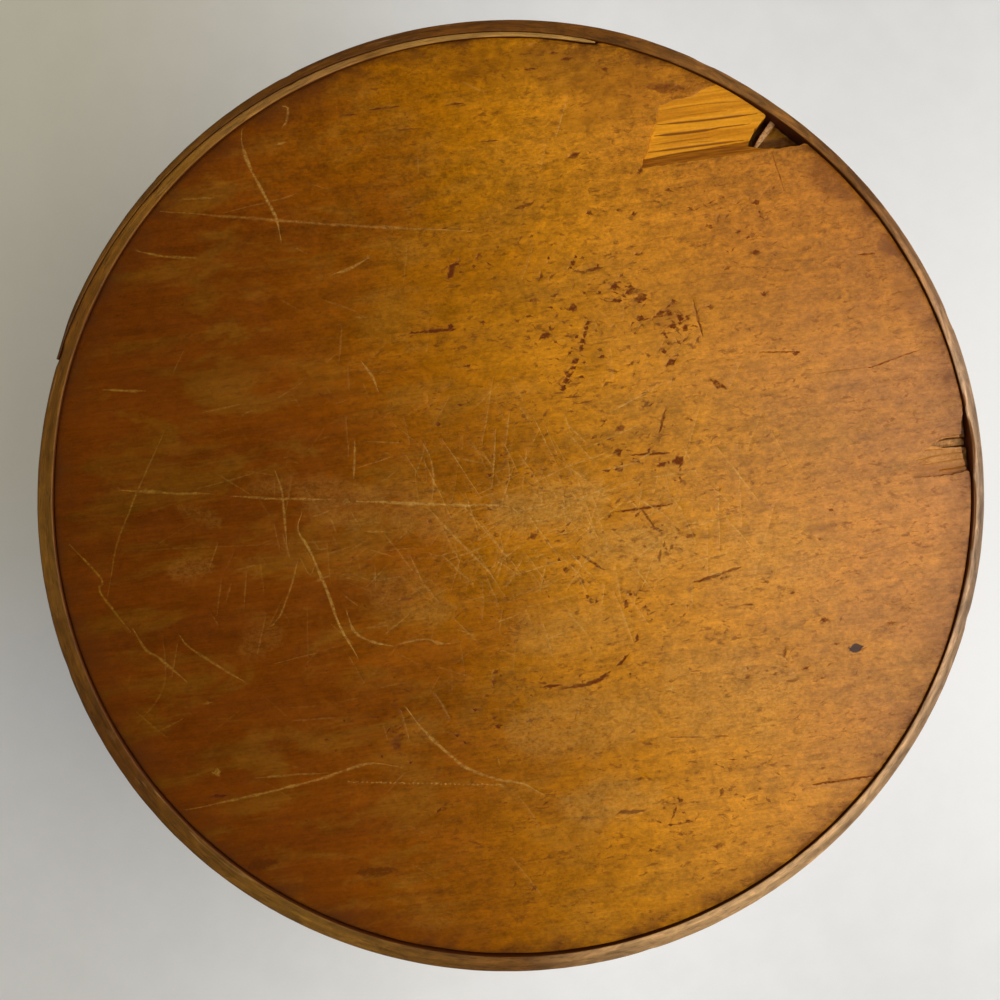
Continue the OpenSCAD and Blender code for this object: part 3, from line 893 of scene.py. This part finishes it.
def hoop_piece(name, node, body, look, hoop, shape, step, rows):
    """A bent strip swept from its inner tip round to its outer tip. shape gives the local wear, step is in
    degrees, and rows is the number of rows of faces up each side."""
    turns = np.arange(0.0, TURN + hoop.lap + step / 2, step)
    points = []
    strip = []
    worn = []
    scar = []
    for turn in turns:
        angle = hoop.lap_start + turn
        way = math.radians(angle)
        inner, outer, top, low, round_out, round_in = shape(turn, angle % TURN, *hoop.faces(turn))
        thick = outer - inner
        height = top - low
        rounds = [min(r, 0.48 * thick) for r in (round_out, round_in, LOW_ROUND)]
        outline = section(thick, height, *rounds, rows)
        for across, up in outline:
            radius = inner + across
            points.append((radius * math.cos(way), radius * math.sin(way), low + up))
            strip.append((math.radians(turn) * hoop.outer_r, up, across / thick * hoop.thick))
            worn.append(max(0.0, 1.0 - min(up, height - up) / WORN_REACH))
            bitten = across < round_in and height - up < round_in
            scar.append(min(1.0, max(0.0, 2.0 * round_in - 1.2)) if bitten else 0.0)
    faces = [tuple(reversed(f)) for f in swept_faces(len(turns), len(outline))]
    piece = make_piece(name, points, faces, look, body, node, HOOP_CREASE)
    give(piece, "strip", strip)
    give(piece, "worn", worn)
    give(piece, "scar", scar)


# Nicks in the rim's top edge: direction in degrees, how far along it reaches, depth, and outer or inner edge
RIM_NICKS = [
    (162.5, 1.6, 0.9, "out"), (139, 1.0, 0.5, "out"), (118, 0.8, 0.5, "out"), (201, 1.2, 0.5, "out"),
    (248, 1.4, 0.2, "in"), (287, 1.0, 0.5, "out"), (311, 1.6, 0.2, "in"), (345, 1.2, 0.7, "out"),
    (22, 1.4, 0.6, "out"), (38, 1.0, 0.2, "in"), (6.5, 4.0, 1.1, "in"), (12, 2.0, 0.4, "in"),
    (358.5, 5.5, 0.7, "in"), (66, 1.4, 0.6, "out"), (351.5, 4.0, 0.5, "in"), (347, 2.0, 0.35, "in"),
]


def waves_along(turn, pitch, long_wave, short_wave, seed):
    """A long and a short waver along a strip, by degrees from its inner tip and millimetres to a degree."""
    along = turn * pitch
    return float(ripple((along, 0.0), long_wave, seed)), float(ripple((along, 5.0), short_wave, seed + 1))


def rim_shape(turn, angle, inner, outer):
    """The rim is thicker at the lower left, its top wavers a little, and its edges are worn and nicked."""
    single = lid_hoop.single(turn)
    swell = float(lid_bulge(angle)) * single
    inner += uneven_rim(turn) + BULGE_INSIDE * swell
    outer += single * 0.1 * math.sin(5 * math.radians(angle) + 1.0) + swell
    feather = smooth((turn - TURN - lid_hoop.lap + FEATHER_TURN) / FEATHER_TURN)
    outer -= feather * (outer - inner - FEATHER_TIP)
    blunt = 0.32 * at_tip(turn) * (outer - inner)
    wave, fine = waves_along(turn, pitch=2.6, long_wave=70.0, short_wave=9.0, seed=21)
    top = lid_hoop.top - 0.16 + 0.1 * wave + 0.05 * fine
    low = lid_hoop.bottom + 0.1 + 0.08 * wave
    rounds = {"out": 0.75 + 0.25 * wave + 0.15 * fine, "in": 0.38 - 0.12 * wave + 0.1 * fine}
    for at, reach, depth, side in RIM_NICKS:
        away = (angle - at + TURN / 2) % TURN - TURN / 2
        rounds[side] += depth * max(0.0, 1.0 - (away / reach) ** 2)
    return inner + blunt, outer - blunt, top, low, max(rounds["out"], 0.2), max(rounds["in"], 0.2)


def side_shape(turn, angle, inner, outer):
    """The box's side wavers a little, and its edges are worn round."""
    wave, fine = waves_along(turn, pitch=2.5, long_wave=80.0, short_wave=10.0, seed=31)
    outer += box_hoop.single(turn) * (0.08 * wave - 0.05)
    top = box_hoop.top - 0.1 + 0.06 * wave
    low = box_hoop.bottom + 0.04 + 0.04 * abs(fine)
    return inner, outer, top, low, 0.8 + 0.2 * wave, 0.8 + 0.2 * fine


# Pegs

PEG_SIDES = 11
PEG_CREASE = 25


def whittled(angle, z, from_r, to_r, radius, tip, top_cut):
    """One hand-whittled peg: a tapered, faceted bar with a cut outer end. Above top_cut it is split away."""
    stations = [(from_r, tip), (from_r + 2.2, 0.3 + tip), (from_r + 5.5, 0.9), (to_r - 1.5, 1.0),
                (to_r - 0.15, 0.98), (to_r, 0.86)]
    bumps = [chance.uniform(0.9, 1.04) for _ in range(PEG_SIDES)]
    way = math.radians(angle)
    points = []
    for reach, size in stations:
        for k, bump in enumerate(bumps):
            turn = FULL_CIRCLE * k / PEG_SIDES
            across = radius * size * bump * math.cos(turn)
            up = radius * size * bump * math.sin(turn)
            if top_cut is not None:
                up = min(up, top_cut + 0.12 * math.sin(7 * across + reach))
            points.append((reach * math.cos(way) - across * math.sin(way),
                           reach * math.sin(way) + across * math.cos(way), z + up))
    return points, swept_faces(len(stations), PEG_SIDES)


def peg_piece(name, node, body, look, angles, z, board_edge, outer_at, tip=0.6, top_cut=None, radius=peg_r):
    """Pegs at some directions, driven through a strip into a board's edge."""
    points = []
    faces = []
    for angle in angles:
        proud = chance.uniform(0.12, 0.3)
        more, sides = whittled(angle, z, board_edge - peg_bite, outer_at(angle) + proud, radius, tip, top_cut)
        faces += [tuple(len(points) + i for i in f) for f in sides]
        points += more
    make_piece(name, points, faces, look, body, node, PEG_CREASE)


def outer_face_at(hoop, shape):
    """Radius of a strip's outermost face, at a direction in degrees."""
    def radius(angle):
        turn = hoop.turn_at(angle)
        turn = turn + TURN if turn < hoop.lap else turn
        return shape(turn, angle, *hoop.faces(turn))[1]
    return radius


# Materials

class Look:
    """The nodes of a material or of the world under construction, with short names for the kinds used."""

    def __init__(self, owner):
        owner.use_nodes = True
        self.owner = owner
        self.tree = owner.node_tree

    def put(self, socket, value):
        """Links a socket to another, or sets it to a plain value."""
        if isinstance(value, bpy.types.NodeSocket):
            self.tree.links.new(value, socket)
        else:
            socket.default_value = value

    def node(self, kind, output, inputs, **settings):
        """One output of a new node, made with its settings and inputs."""
        made = self.tree.nodes.new("ShaderNode" + kind)
        for key, value in settings.items():
            setattr(made, key, value)
        for key, value in inputs.items():
            self.put(made.inputs[key], value)
        return made.outputs[output]

    def place(self):
        return self.node("TexCoord", "Object", {})

    def stored(self, name, output="Fac"):
        return self.node("Attribute", output, {}, attribute_name=name)

    def part(self, vector, axis):
        return self.node("SeparateXYZ", axis, {0: vector})

    def noise(self, vector, sizes, detail, roughness, distortion=0.0, tilt=0.0):
        """Noise in coordinates turned by a tilt in degrees and divided by a size in each direction."""
        turned = self.node("Mapping", "Vector", {
            "Vector": vector, "Scale": sizes, "Rotation": (0.0, 0.0, math.radians(tilt)),
        }, vector_type="TEXTURE")
        return self.node("TexNoise", "Fac", {
            "Vector": turned, "Scale": 1.0, "Detail": detail, "Roughness": roughness,
            "Distortion": distortion,
        })

    def span(self, value, low, high, to_low=0.0, to_high=1.0, course="SMOOTHSTEP"):
        """A value's range moved to another range, and held inside it."""
        return self.node("MapRange", "Result", {
            "Value": value, "From Min": low, "From Max": high, "To Min": to_low, "To Max": to_high,
        }, interpolation_type=course)

    def sway(self, value, to_low=0.0, to_high=1.0):
        """The range that a noise mostly keeps to, moved to another range."""
        return self.span(value, 0.3, 0.7, to_low, to_high)

    def maths(self, operation, *values):
        """An operation worked through a row of values."""
        total = values[0]
        for value in values[1:]:
            total = self.node("Math", 0, {0: total, 1: value}, operation=operation)
        return total

    def sum(self, *values):
        return self.maths("ADD", *values)

    def times(self, *values):
        return self.maths("MULTIPLY", *values)

    def ramp(self, value, stops):
        """A colour that runs through stops, each a position and a colour."""
        made = self.tree.nodes.new("ShaderNodeValToRGB")
        self.put(made.inputs["Fac"], value)
        elements = made.color_ramp.elements
        while len(elements) < len(stops):
            elements.new(1.0)
        for element, (position, _) in zip(elements, stops):
            element.position = position
        for element, (_, colour) in zip(elements, stops):
            element.color = colour
        return made.outputs["Color"]

    def mix(self, share, a, b, mode="MIX"):
        return self.node("Mix", 2, {0: share, 6: a, 7: b}, data_type="RGBA", blend_type=mode)

    def layered(self, colour, layers):
        """A colour with others laid over it in turn, each given with its share."""
        for share, over in layers:
            colour = self.mix(share, colour, over)
        return colour

    def brighter(self, colour, value):
        return self.node("HueSaturation", "Color", {"Color": colour, "Value": value})

    def bump(self, height, depth):
        """Surface relief from a 0 to 1 height, with its depth in millimetres."""
        return self.node("Bump", "Normal", {"Distance": depth * MM, "Height": height})

    def finish(self, colour, roughness, specular=0.5, **others):
        """Fills the shader's inputs and gives back the material."""
        shader = self.tree.nodes["Principled BSDF"]
        inputs = {"Base Color": colour, "Roughness": roughness, "Specular IOR Level": specular, **others}
        for key, value in inputs.items():
            self.put(shader.inputs[key], value)
        return self.owner


def new_look(name):
    return Look(bpy.data.materials.new(name))


def colour_stops(rows):
    """Ramp stops from positions, each with a colour in the photograph's scale or a plain share of white."""
    return [(at, srgb(*tone) if isinstance(tone, tuple) else (tone, tone, tone, 1.0)) for at, tone in rows]


# The lid's varnish from its left to its right: partly its real stain, partly painted light, with painted
# shade darkening the left and a paler, greyer painted sheen on the right. Then the table under it, painted
# darker towards its sides, most at the left, as painted shade.
VARNISH_STAIN_AND_LIGHT_TONES = [
    (0.0, (106, 50, 0)), (0.17, (111, 53, 0)), (0.28, (121, 60, 0)), (0.38, (136, 74, 0)),
    (0.49, (164, 100, 0)), (0.59, (187, 119, 8)), (0.7, (191, 124, 27)), (0.8, (184, 119, 39)),
    (0.9, (176, 113, 46)), (1.0, (170, 109, 51)),
]
TABLE_SHADED_TONES = [
    (0.0, (180, 177, 170)), (0.12, (188, 186, 181)), (0.4, (211, 210, 207)), (0.62, (216, 216, 215)),
    (0.9, (198, 198, 197)), (1.0, (196, 196, 195)),
]


def pine_look(name):
    """Old pine: shellac on the marked top, bare and browned elsewhere."""
    look = new_look(name)
    span, sway, mix, times, total, stored = look.span, look.sway, look.mix, look.times, look.sum, look.stored
    place = look.place()

    def grain(*settings):
        """Noise along the grain: sizes in metres, detail, roughness and distortion."""
        return look.noise(place, *settings, tilt=GRAIN_TILT)

    bands = grain((0.42, 0.026, 0.03), 2.0, 0.5, 0.3)
    streaks = grain((0.07, 0.0036, 0.0036), 4.0, 0.65, 0.4)
    fibres = grain((0.009, 0.0007, 0.0007), 2.0, 0.6)
    mottle = grain((0.013, 0.008, 0.008), 5.0, 0.7)
    grit = grain((0.0011, 0.0008, 0.0008), 3.0, 0.7)
    flecks = grain((0.003, 0.0015, 0.0015), 3.0, 0.65, 0.5)
    blotch = grain((0.0042, 0.003, 0.003), 3.0, 0.65, 0.6)
    patches = grain((0.05, 0.035, 0.03), 3.0, 0.6)
    smears = grain((0.034, 0.013, 0.013), 4.0, 0.68, 0.5)
    rough_edge = span(grit, 0.25, 0.75, 0.35, 1.7)
    up = look.part(place, "Y")
    drift = span(patches, 0.2, 0.8, -0.014, 0.014)
    # tone runs from the lid's left to its right, rising a little upward: the varnish along it is a real stain
    # difference with painted light laid in, painted shade on the left and painted sheen on the right
    tone = span(total(look.part(place, "X"), times(up, 0.16), drift), -0.15, 0.15, course="LINEAR")
    pale = stored("pale")
    dark = stored("dark")
    fresh = stored("fresh")
    finish = stored("finish")

    def ragged(channel, low, high):
        """A stored channel with its soft outline broken up by the grit."""
        return span(times(stored(channel), rough_edge), low, high)

    def by_tone(left, right):
        """A colour that changes from the lid's left to its right, darker on the left with the painted shade.
        """
        return mix(tone, srgb(*left), srgb(*right))

    olive = times(span(smears, 0.48, 0.64), span(tone, 0.1, 0.7, 0.55, 0.25))
    deep = times(span(up, 0.02, 0.08), span(tone, 0.55, 0.8, 0.0, 0.6))
    varnish = look.layered(look.ramp(tone, colour_stops(VARNISH_STAIN_AND_LIGHT_TONES)), [
        (olive, by_tone((106, 64, 2), (190, 130, 40))),
        (deep, srgb(172, 102, 6)),
    ])
    lively = total(span(tone, 0.2, 0.5, 0.85, 1.6), span(up, 0.05, 0.11, 0.0, 0.6))
    small = total(span(blotch, 0.28, 0.72, -0.11, 0.09), span(grit, 0.25, 0.75, -0.12, 0.11))
    varnish = look.brighter(varnish, total(
        sway(bands, 0.94, 1.07), sway(streaks, -0.11, 0.09), sway(fibres, -0.06, 0.06),
        sway(mottle, -0.09, 0.09), times(lively, small),
    ))
    busy = times(span(tone, 0.15, 0.55, 0.3, 1.0), span(mottle, 0.35, 0.6, 0.2, 1.0))
    speck = by_tone((76, 33, 0), (122, 68, 10))
    halo = times(span(dark, 0.0, 0.5), span(mottle, 0.35, 0.6, 0.25, 0.7))
    # pale scratches, worn spots and patches of painted sheen
    scored_and_sheen = times(pale, span(pale, 0.0, 0.9, 0.3, 1.0), span(grit, 0.34, 0.64, 0.25, 1.0),
                   span(flecks, 0.38, 0.6, 1.0, 0.6))
    split = mix(span(streaks, 0.35, 0.65), srgb(188, 116, 4), srgb(220, 146, 20))
    split = look.brighter(split, total(sway(fibres, 0.88, 1.06), span(grit, 0.25, 0.75, -0.08, 0.08)))
    wall = mix(sway(fibres), srgb(126, 68, 2), srgb(166, 100, 10))
    varnish = look.layered(varnish, [
        (times(span(flecks, 0.54, 0.67, 0.0, 0.7), busy), speck),
        (times(stored("edge"), span(mottle, 0.35, 0.65, 0.1, 0.9)), srgb(84, 42, 8)),
        # real stains, and the painted shade in the short chip's lower half
        (times(ragged("stain", 0.1, 0.9), 0.75), by_tone((72, 30, 0), (112, 58, 4))),
        (times(ragged("fleck", 0.1, 0.42), span(stored("fleck"), 0.0, 0.8, 0.2, 0.8)), speck),
        (halo, by_tone((92, 40, 0), (134, 74, 8))),
        (times(ragged("dark", 0.25, 0.95), 0.92), by_tone((80, 30, 0), (104, 42, 0))),
        (scored_and_sheen, by_tone((156, 112, 18), (224, 174, 96))),
        (span(stored("ink"), 0.15, 0.6, 0.0, 0.94), srgb(50, 34, 30)),
        (fresh, mix(span(stored("wall"), 0.2, 0.7), split, wall)),
        (times(span(stored("ring"), 0.05, 0.8), span(streaks, 0.3, 0.55, 0.7, 1.0)), srgb(122, 66, 4)),
        # painted shade in the pits, the slots and down the board's sawn edge
        (times(stored("pit"), 0.95), mix(grit, srgb(38, 16, 2), srgb(82, 50, 10))),
    ])
    bare = mix(span(bands, 0.35, 0.65), srgb(172, 124, 70), srgb(194, 148, 94))
    bare = look.brighter(bare, total(sway(streaks, 0.8, 1.05), sway(mottle, -0.1, 0.06)))
    dull = total(sway(mottle, 0.28, 0.42), times(pale, 0.2), times(dark, 0.5), times(fresh, 0.3),
                 span(finish, 0.0, 1.0, 0.36, 0.0))
    relief = total(fibres, sway(streaks, 0.0, 0.8), grit, span(flecks, 0.6, 0.7, 0.0, -0.7))
    return look.finish(mix(finish, bare, varnish), dull, 0.13, Normal=look.bump(relief, 0.03))


def hoop_look(name, hoop, edge_tones, outer_shades, flaking, outside, inside, gap_shade_heights, covered):
    """Bent strip: brown finish outside, bare inside, worn pale and flaked along its edges. Its inner face is
    painted dark between two heights, old varnish with painted shade of the gap by the board, and its outer
    face is pale where the lid covers it."""
    look = new_look(name)
    span, sway, mix, times, brighter = look.span, look.sway, look.mix, look.times, look.brighter
    strip = look.stored("strip", "Vector")
    whole = TURN + hoop.lap
    along = look.maths("DIVIDE", look.part(strip, "X"), math.radians(whole) * hoop.outer_r)
    up = look.part(strip, "Y")
    depth = look.part(strip, "Z")

    def grain(length, width, *settings):
        """Noise along the strip: sizes in millimetres, detail, roughness and distortion."""
        return look.noise(strip, (length, width, width), *settings)

    def ramp_along(rows):
        """A colour or share that changes along the strip, by degrees from its inner tip."""
        return look.ramp(along, colour_stops([(turn / whole, tone) for turn, tone in rows]))

    bands = grain(420.0, 16.0, 3.0, 0.55, 0.4)
    streaks = grain(70.0, 2.4, 5.0, 0.68, 0.5)
    fibres = grain(9.0, 0.34, 3.0, 0.65)
    mottle = grain(14.0, 8.0, 5.0, 0.7)
    pores = grain(4.2, 0.4, 2.0, 0.5)
    patches = grain(60.0, 35.0, 3.0, 0.6)
    rubs = grain(26.0, 1.1, 2.0, 0.5, 1.5)
    flakes = grain(9.0, 2.2, 4.0, 0.62, 0.8)
    dings = grain(3.4, 2.2, 2.0, 0.5, 0.6)
    bare = mix(span(patches, 0.35, 0.65), *inside)
    skin = look.layered(mix(sway(patches), *outside), [
        (span(up, covered - 1.0, covered + 1.5, 0.0, 0.7), inside[0]),
        (span(up, 9.0, 0.0, 0.0, 0.5), srgb(70, 40, 16)),
    ])
    skin = mix(span(depth, 1.2, 2.6), bare, skin)
    worn = times(span(look.stored("worn"), 0.1, 0.85), span(mottle, 0.2, 0.42, 0.35, 1.0))
    # painted shade: the outer side of the rim's top edge is darkened along the right of the lid
    shade = mix(span(depth, 1.0, 2.6), (1.0, 1.0, 1.0, 1.0), ramp_along(outer_shades))
    edge = brighter(ramp_along(edge_tones), shade)
    flaky = ramp_along(flaking)
    for full, light in ((0.66, 1.55), (0.36, 0.55)):
        edge = mix(times(flaky, span(flakes, 0.5, full)), edge, brighter(edge, light))
    colour = brighter(mix(worn, skin, edge), look.sum(
        sway(bands, 0.86, 1.08), span(streaks, 0.28, 0.72, -0.22, 0.14), sway(fibres, -0.12, 0.12),
        sway(mottle, -0.12, 0.12),
    ))
    colour = mix(span(rubs, 0.66, 0.78, 0.0, 0.35), colour, srgb(196, 150, 96))
    colour = mix(span(pores, 0.6, 0.72, 0.0, 0.5), colour, brighter(colour, 0.35))
    colour = mix(span(mottle, 0.62, 0.76, 0.0, 0.6), colour, brighter(colour, 0.5))
    outward = times(span(depth, hoop.thick - 0.2, hoop.thick), span(worn, 0.5, 0.1))
    handled = times(outward, span(patches, 0.46, 0.6))
    layers = [(times(span(dings, 0.68, 0.74, 0.0, 0.8), outward), srgb(58, 30, 10))]
    for tilt in (9.0, -34.0):
        hair = look.noise(strip, (26.0, 0.34, 4.0), 1.0, 0.4, 0.3, tilt)
        layers.append((times(span(hair, 0.73, 0.8, 0.0, 0.34), handled), srgb(188, 144, 92)))
    broken = span(look.sum(look.stored("scar"), sway(flakes, -0.25, 0.25)), 0.3, 0.6)
    # the inner face by the board is painted dark: old varnish, and painted shade of the narrow gap
    low, high = gap_shade_heights
    varnish_and_gap_shade = times(span(up, high, high - 0.3), span(up, low, low + 0.6), span(depth, 3.0, 2.2))
    layers += [
        (broken, mix(sway(fibres), srgb(116, 70, 32), srgb(166, 118, 72))),
        (varnish_and_gap_shade, srgb(86, 40, 13)),
    ]
    relief = look.sum(sway(streaks, 0.0, 0.6), fibres, span(pores, 0.58, 0.7, 0.0, -0.9))
    rough = sway(mottle, 0.42, 0.62)
    return look.finish(look.layered(colour, layers), rough, 0.16, Normal=look.bump(relief, 0.05))


def peg_look(name, dark, light):
    """Whittled or split wood of a peg, between two colours."""
    look = new_look(name)
    place = look.place()
    fibres = look.noise(place, (0.0012, 0.0012, 0.0012), 4.0, 0.7)
    mottle = look.noise(place, (0.004, 0.004, 0.004), 3.0, 0.6)
    colour = look.brighter(look.mix(look.sway(fibres), dark, light), look.sway(mottle, 0.7, 1.08))
    return look.finish(colour, look.sway(mottle, 0.6, 0.75), 0.15, Normal=look.bump(fibres, 0.08))


def iron_look(name):
    """Old iron tacks: dark scale with brown rust and rubbed high spots."""
    look = new_look(name)
    place = look.place()
    scale = look.noise(place, (0.0016, 0.0016, 0.0016), 4.0, 0.65)
    rust = look.noise(place, (0.004, 0.004, 0.004), 3.0, 0.6)
    colour = look.mix(look.span(scale, 0.35, 0.65), srgb(46, 38, 32), srgb(84, 72, 62))
    colour = look.mix(look.span(rust, 0.42, 0.6), colour, srgb(92, 48, 24))
    metal = look.span(rust, 0.46, 0.62, 0.6, 0.05)
    return look.finish(colour, look.sway(scale, 0.45, 0.75), Metallic=metal, Normal=look.bump(scale, 0.1))


def floor_look(name):
    """A pale table that runs out into a pale room. Its colour carries painted shade and light: darker towards
    its sides, most at the left, with a warm shade at its upper left, and lighter towards its lower left.
    """
    look = new_look(name)
    span, times = look.span, look.times
    place = look.place()
    grain = look.noise(place, (0.02, 0.02, 0.02), 3.0, 0.6)
    aside = look.part(place, "X")
    up = look.part(place, "Y")
    away = look.node("VectorMath", "Value", {0: place}, operation="LENGTH")
    colour = look.ramp(span(aside, -0.2, 0.2, course="LINEAR"), colour_stops(TABLE_SHADED_TONES))
    colour = look.brighter(colour, look.sway(grain, 0.98, 1.02))
    # painted light: lighter towards the bottom, most at the left
    lower_light = times(span(up, 0.0, -0.1), span(aside, -0.2, 0.2, 0.3, 0.06, "LINEAR"))
    colour = look.brighter(colour, look.sum(lower_light, span(up, 0.1, 0.25, 1.0, 0.98)))
    warm_shade = times(span(up, -0.1, 0.03), span(aside, 0.0, -0.22), span(away, 0.3, 1.0, 1.0, 0.0))
    colour = look.mix(warm_shade, colour, (1.0, 0.955, 0.8, 1.0), "MULTIPLY")
    rays = ("Is Camera Ray", "Is Glossy Ray", "Is Transmission Ray")
    seen = look.maths("MAXIMUM", *(look.node("LightPath", ray, {}) for ray in rays))
    glow = {
        "Emission Color": look.mix(warm_shade, (1.0, 1.0, 0.99, 1.0), (0.99, 0.93, 0.76, 1.0)),
        "Emission Strength": times(seen, span(away, 0.35, 1.6, 0.2, 0.46)),
    }
    return look.finish(colour, look.sway(grain, 0.5, 0.6), **glow)


# Edge colours along each strip, how far its outer side is darkened as painted shade, and how much its edges
# flake, by degrees from its inner tip
RIM_EDGE_TONES = [
    (0, (184, 138, 68)), (24, (172, 124, 56)), (28.5, (130, 84, 24)), (32, (166, 118, 58)),
    (41, (158, 110, 48)), (55, (138, 92, 26)), (76, (112, 68, 12)), (105, (118, 78, 22)),
    (135, (100, 58, 10)), (165, (128, 88, 28)), (192, (116, 74, 28)), (206, (184, 142, 92)),
    (220, (204, 160, 108)), (250, (190, 148, 104)), (281, (184, 146, 112)), (295, (202, 160, 120)),
    (308, (166, 118, 72)), (322, (118, 72, 20)), (340, (130, 86, 36)), (358, (114, 68, 12)),
    (372, (114, 66, 10)), (402, (98, 57, 6)), (418, (110, 69, 12)), (432, (110, 68, 12)),
    # the last two stops paint the rim's outer tip dark: painted shadow under the lap's tip
    (440, (74, 42, 4)), (443, (70, 40, 4)),
]
RIM_OUTER_SHADES = [
    (0, 1.0), (190, 1.0), (215, 0.7), (255, 0.5), (300, 0.45), (325, 0.9), (340, 1.0), (443, 1.0),
]
RIM_FLAKING = [
    (0, 0.5), (90, 0.4), (150, 0.5), (200, 0.6), (270, 0.8), (328, 0.8), (352, 0.9), (364, 0.6), (443, 0.5),
]
SIDE_EDGE_TONES = [(0, (186, 140, 88)), (140, (160, 112, 62)), (300, (182, 136, 86)), (430, (140, 92, 44))]
SIDE_OUTER_SHADES = [(0, 1.0), (430, 1.0)]
SIDE_FLAKING = [(0, 0.3), (430, 0.3)]
# A height that no strip reaches
NEVER = 1000.0

pine = pine_look("shellacked_pine")
rim_wood = hoop_look(
    "bent_rim_wood", lid_hoop, RIM_EDGE_TONES, RIM_OUTER_SHADES, RIM_FLAKING,
    outside=(srgb(112, 66, 24), srgb(142, 92, 44)), inside=(srgb(156, 108, 60), srgb(182, 136, 86)),
    gap_shade_heights=(board_low[2] - lid_hoop.bottom, lid_hoop.top - lid_hoop.bottom - 0.42), covered=NEVER)
side_wood = hoop_look(
    "bent_side_wood", box_hoop, SIDE_EDGE_TONES, SIDE_OUTER_SHADES, SIDE_FLAKING,
    outside=(srgb(118, 70, 26), srgb(148, 96, 44)), inside=(srgb(170, 124, 76), srgb(192, 148, 98)),
    gap_shade_heights=(NEVER, 2 * NEVER), covered=lid_hoop.bottom - box_hoop.bottom)
split_wood = peg_look("split_peg_wood", srgb(150, 98, 52), srgb(226, 176, 118))
pale_split_wood = peg_look("pale_split_peg_wood", srgb(158, 104, 50), srgb(220, 162, 98))
peg_wood = peg_look("handled_peg_wood", srgb(112, 72, 36), srgb(182, 134, 84))
tack_iron = iron_look("tack_iron")

# Pieces
board_piece("lid_board_pine", "lid_board", "lid", pine, lid_edge_radius, top_pitch=2.1, marks=lid_marks(),
            breaks=BREAKS, extra_rows=long_ring_rows + short_ring_rows, wear=0.35, finish=1.0)
board_piece("box_bottom_pine", "box_bottom_board", "box", pine, bottom_edge_radius, top_pitch=3.2, marks=[],
            breaks=[], extra_rows=[], wear=0.25, finish=0.0)
hoop_piece("lid_rim_bentwood", "lid_rim_strip", "lid", rim_wood, lid_hoop, rim_shape, step=0.45, rows=12)
hoop_piece("box_side_bentwood", "box_side_strip", "box", side_wood, box_hoop, side_shape, step=0.6, rows=30)
rim_face = outer_face_at(lid_hoop, rim_shape)
peg_piece("lid_pegs_whittled", "lid_pegs", "lid", peg_wood, lid_peg_angles, lid_peg_z, board_r, rim_face)
peg_piece("split_peg_at_long_chip", "split_peg_long_chip", "lid", split_wood, [long_chip_peg], lid_peg_z,
          board_r, rim_face, tip=0.3, top_cut=0.5, radius=slim_peg_r)
peg_piece("split_peg_at_short_chip", "split_peg_short_chip", "lid", pale_split_wood, [short_chip_peg],
          lid_peg_z, board_r, rim_face, tip=0.55, top_cut=0.5)
peg_piece("box_pegs_whittled", "box_bottom_pegs", "box", peg_wood, bottom_peg_angles, bottom_peg_z, bottom_r,
          outer_face_at(box_hoop, side_shape))
for node in ("lid_lap_tacks", "box_lap_tacks"):
    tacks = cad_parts[node]
    tacks.data.materials.clear()
    tacks.data.materials.append(tack_iron)


# Floor, light and camera

def place_in_scene(name, data):
    """A new object in the scene."""
    holder = bpy.data.objects.new(name, data)
    scene.collection.objects.link(holder)
    return holder


def add_floor():
    """A square table, wide enough to reach the horizon."""
    half = 30.0
    mesh = bpy.data.meshes.new("floor")
    square = [(-half, -half, 0), (half, -half, 0), (half, half, 0), (-half, half, 0)]
    mesh.from_pydata(square, [], [(0, 1, 2, 3)])
    mesh.materials.append(floor_look("pale_table"))
    floor = place_in_scene("floor", mesh)


def add_lamp(name, place, target, width, depth, power, colour):
    """A rectangular lamp that looks at a target."""
    lamp = bpy.data.lights.new(name, "AREA")
    lamp.shape = "RECTANGLE"
    lamp.size = width
    lamp.size_y = depth
    lamp.energy = power
    lamp.color = colour
    holder = place_in_scene(name, lamp)
    holder.location = place
    holder.rotation_euler = (Vector(target) - Vector(place)).to_track_quat("-Z", "Y").to_euler()


def add_world():
    """A room that is pale at the horizon and dark overhead."""
    scene.world = bpy.data.worlds.new("room")
    room = Look(scene.world)
    height = room.part(room.node("TexCoord", "Generated", {}), "Z")
    background = room.tree.nodes["Background"]
    room.put(background.inputs["Color"], (1.0, 0.98, 0.95, 1.0))
    room.put(background.inputs["Strength"], room.span(height, 0.0, 1.0, 0.6, 0.02, "LINEAR"))


def add_camera():
    """The photograph's view, straight down."""
    camera = bpy.data.cameras.new("camera")
    camera.sensor_width = SENSOR
    camera.lens = SENSOR * EYE_HEIGHT / (FRAME_PX * mm_per_px)
    camera.clip_start = 0.01
    holder = place_in_scene("camera", camera)
    holder.location = (eye_x * MM, eye_y * MM, (lid_hoop.top + EYE_HEIGHT) * MM)
    scene.camera = holder


add_floor()
add_lamp("window", (0.48, -0.03, 0.56), (0.0, 0.0, board_top * MM), width=0.55, depth=0.8, power=4.9,
         colour=(1.0, 0.99, 0.97))
add_lamp("ceiling", (0.42, 0.0, 0.9), (0.42, 0.0, 0.0), width=0.7, depth=1.0, power=1.3,
         colour=(1.0, 0.98, 0.95))
add_world()
add_camera()
scene.view_settings.view_transform = "Standard"
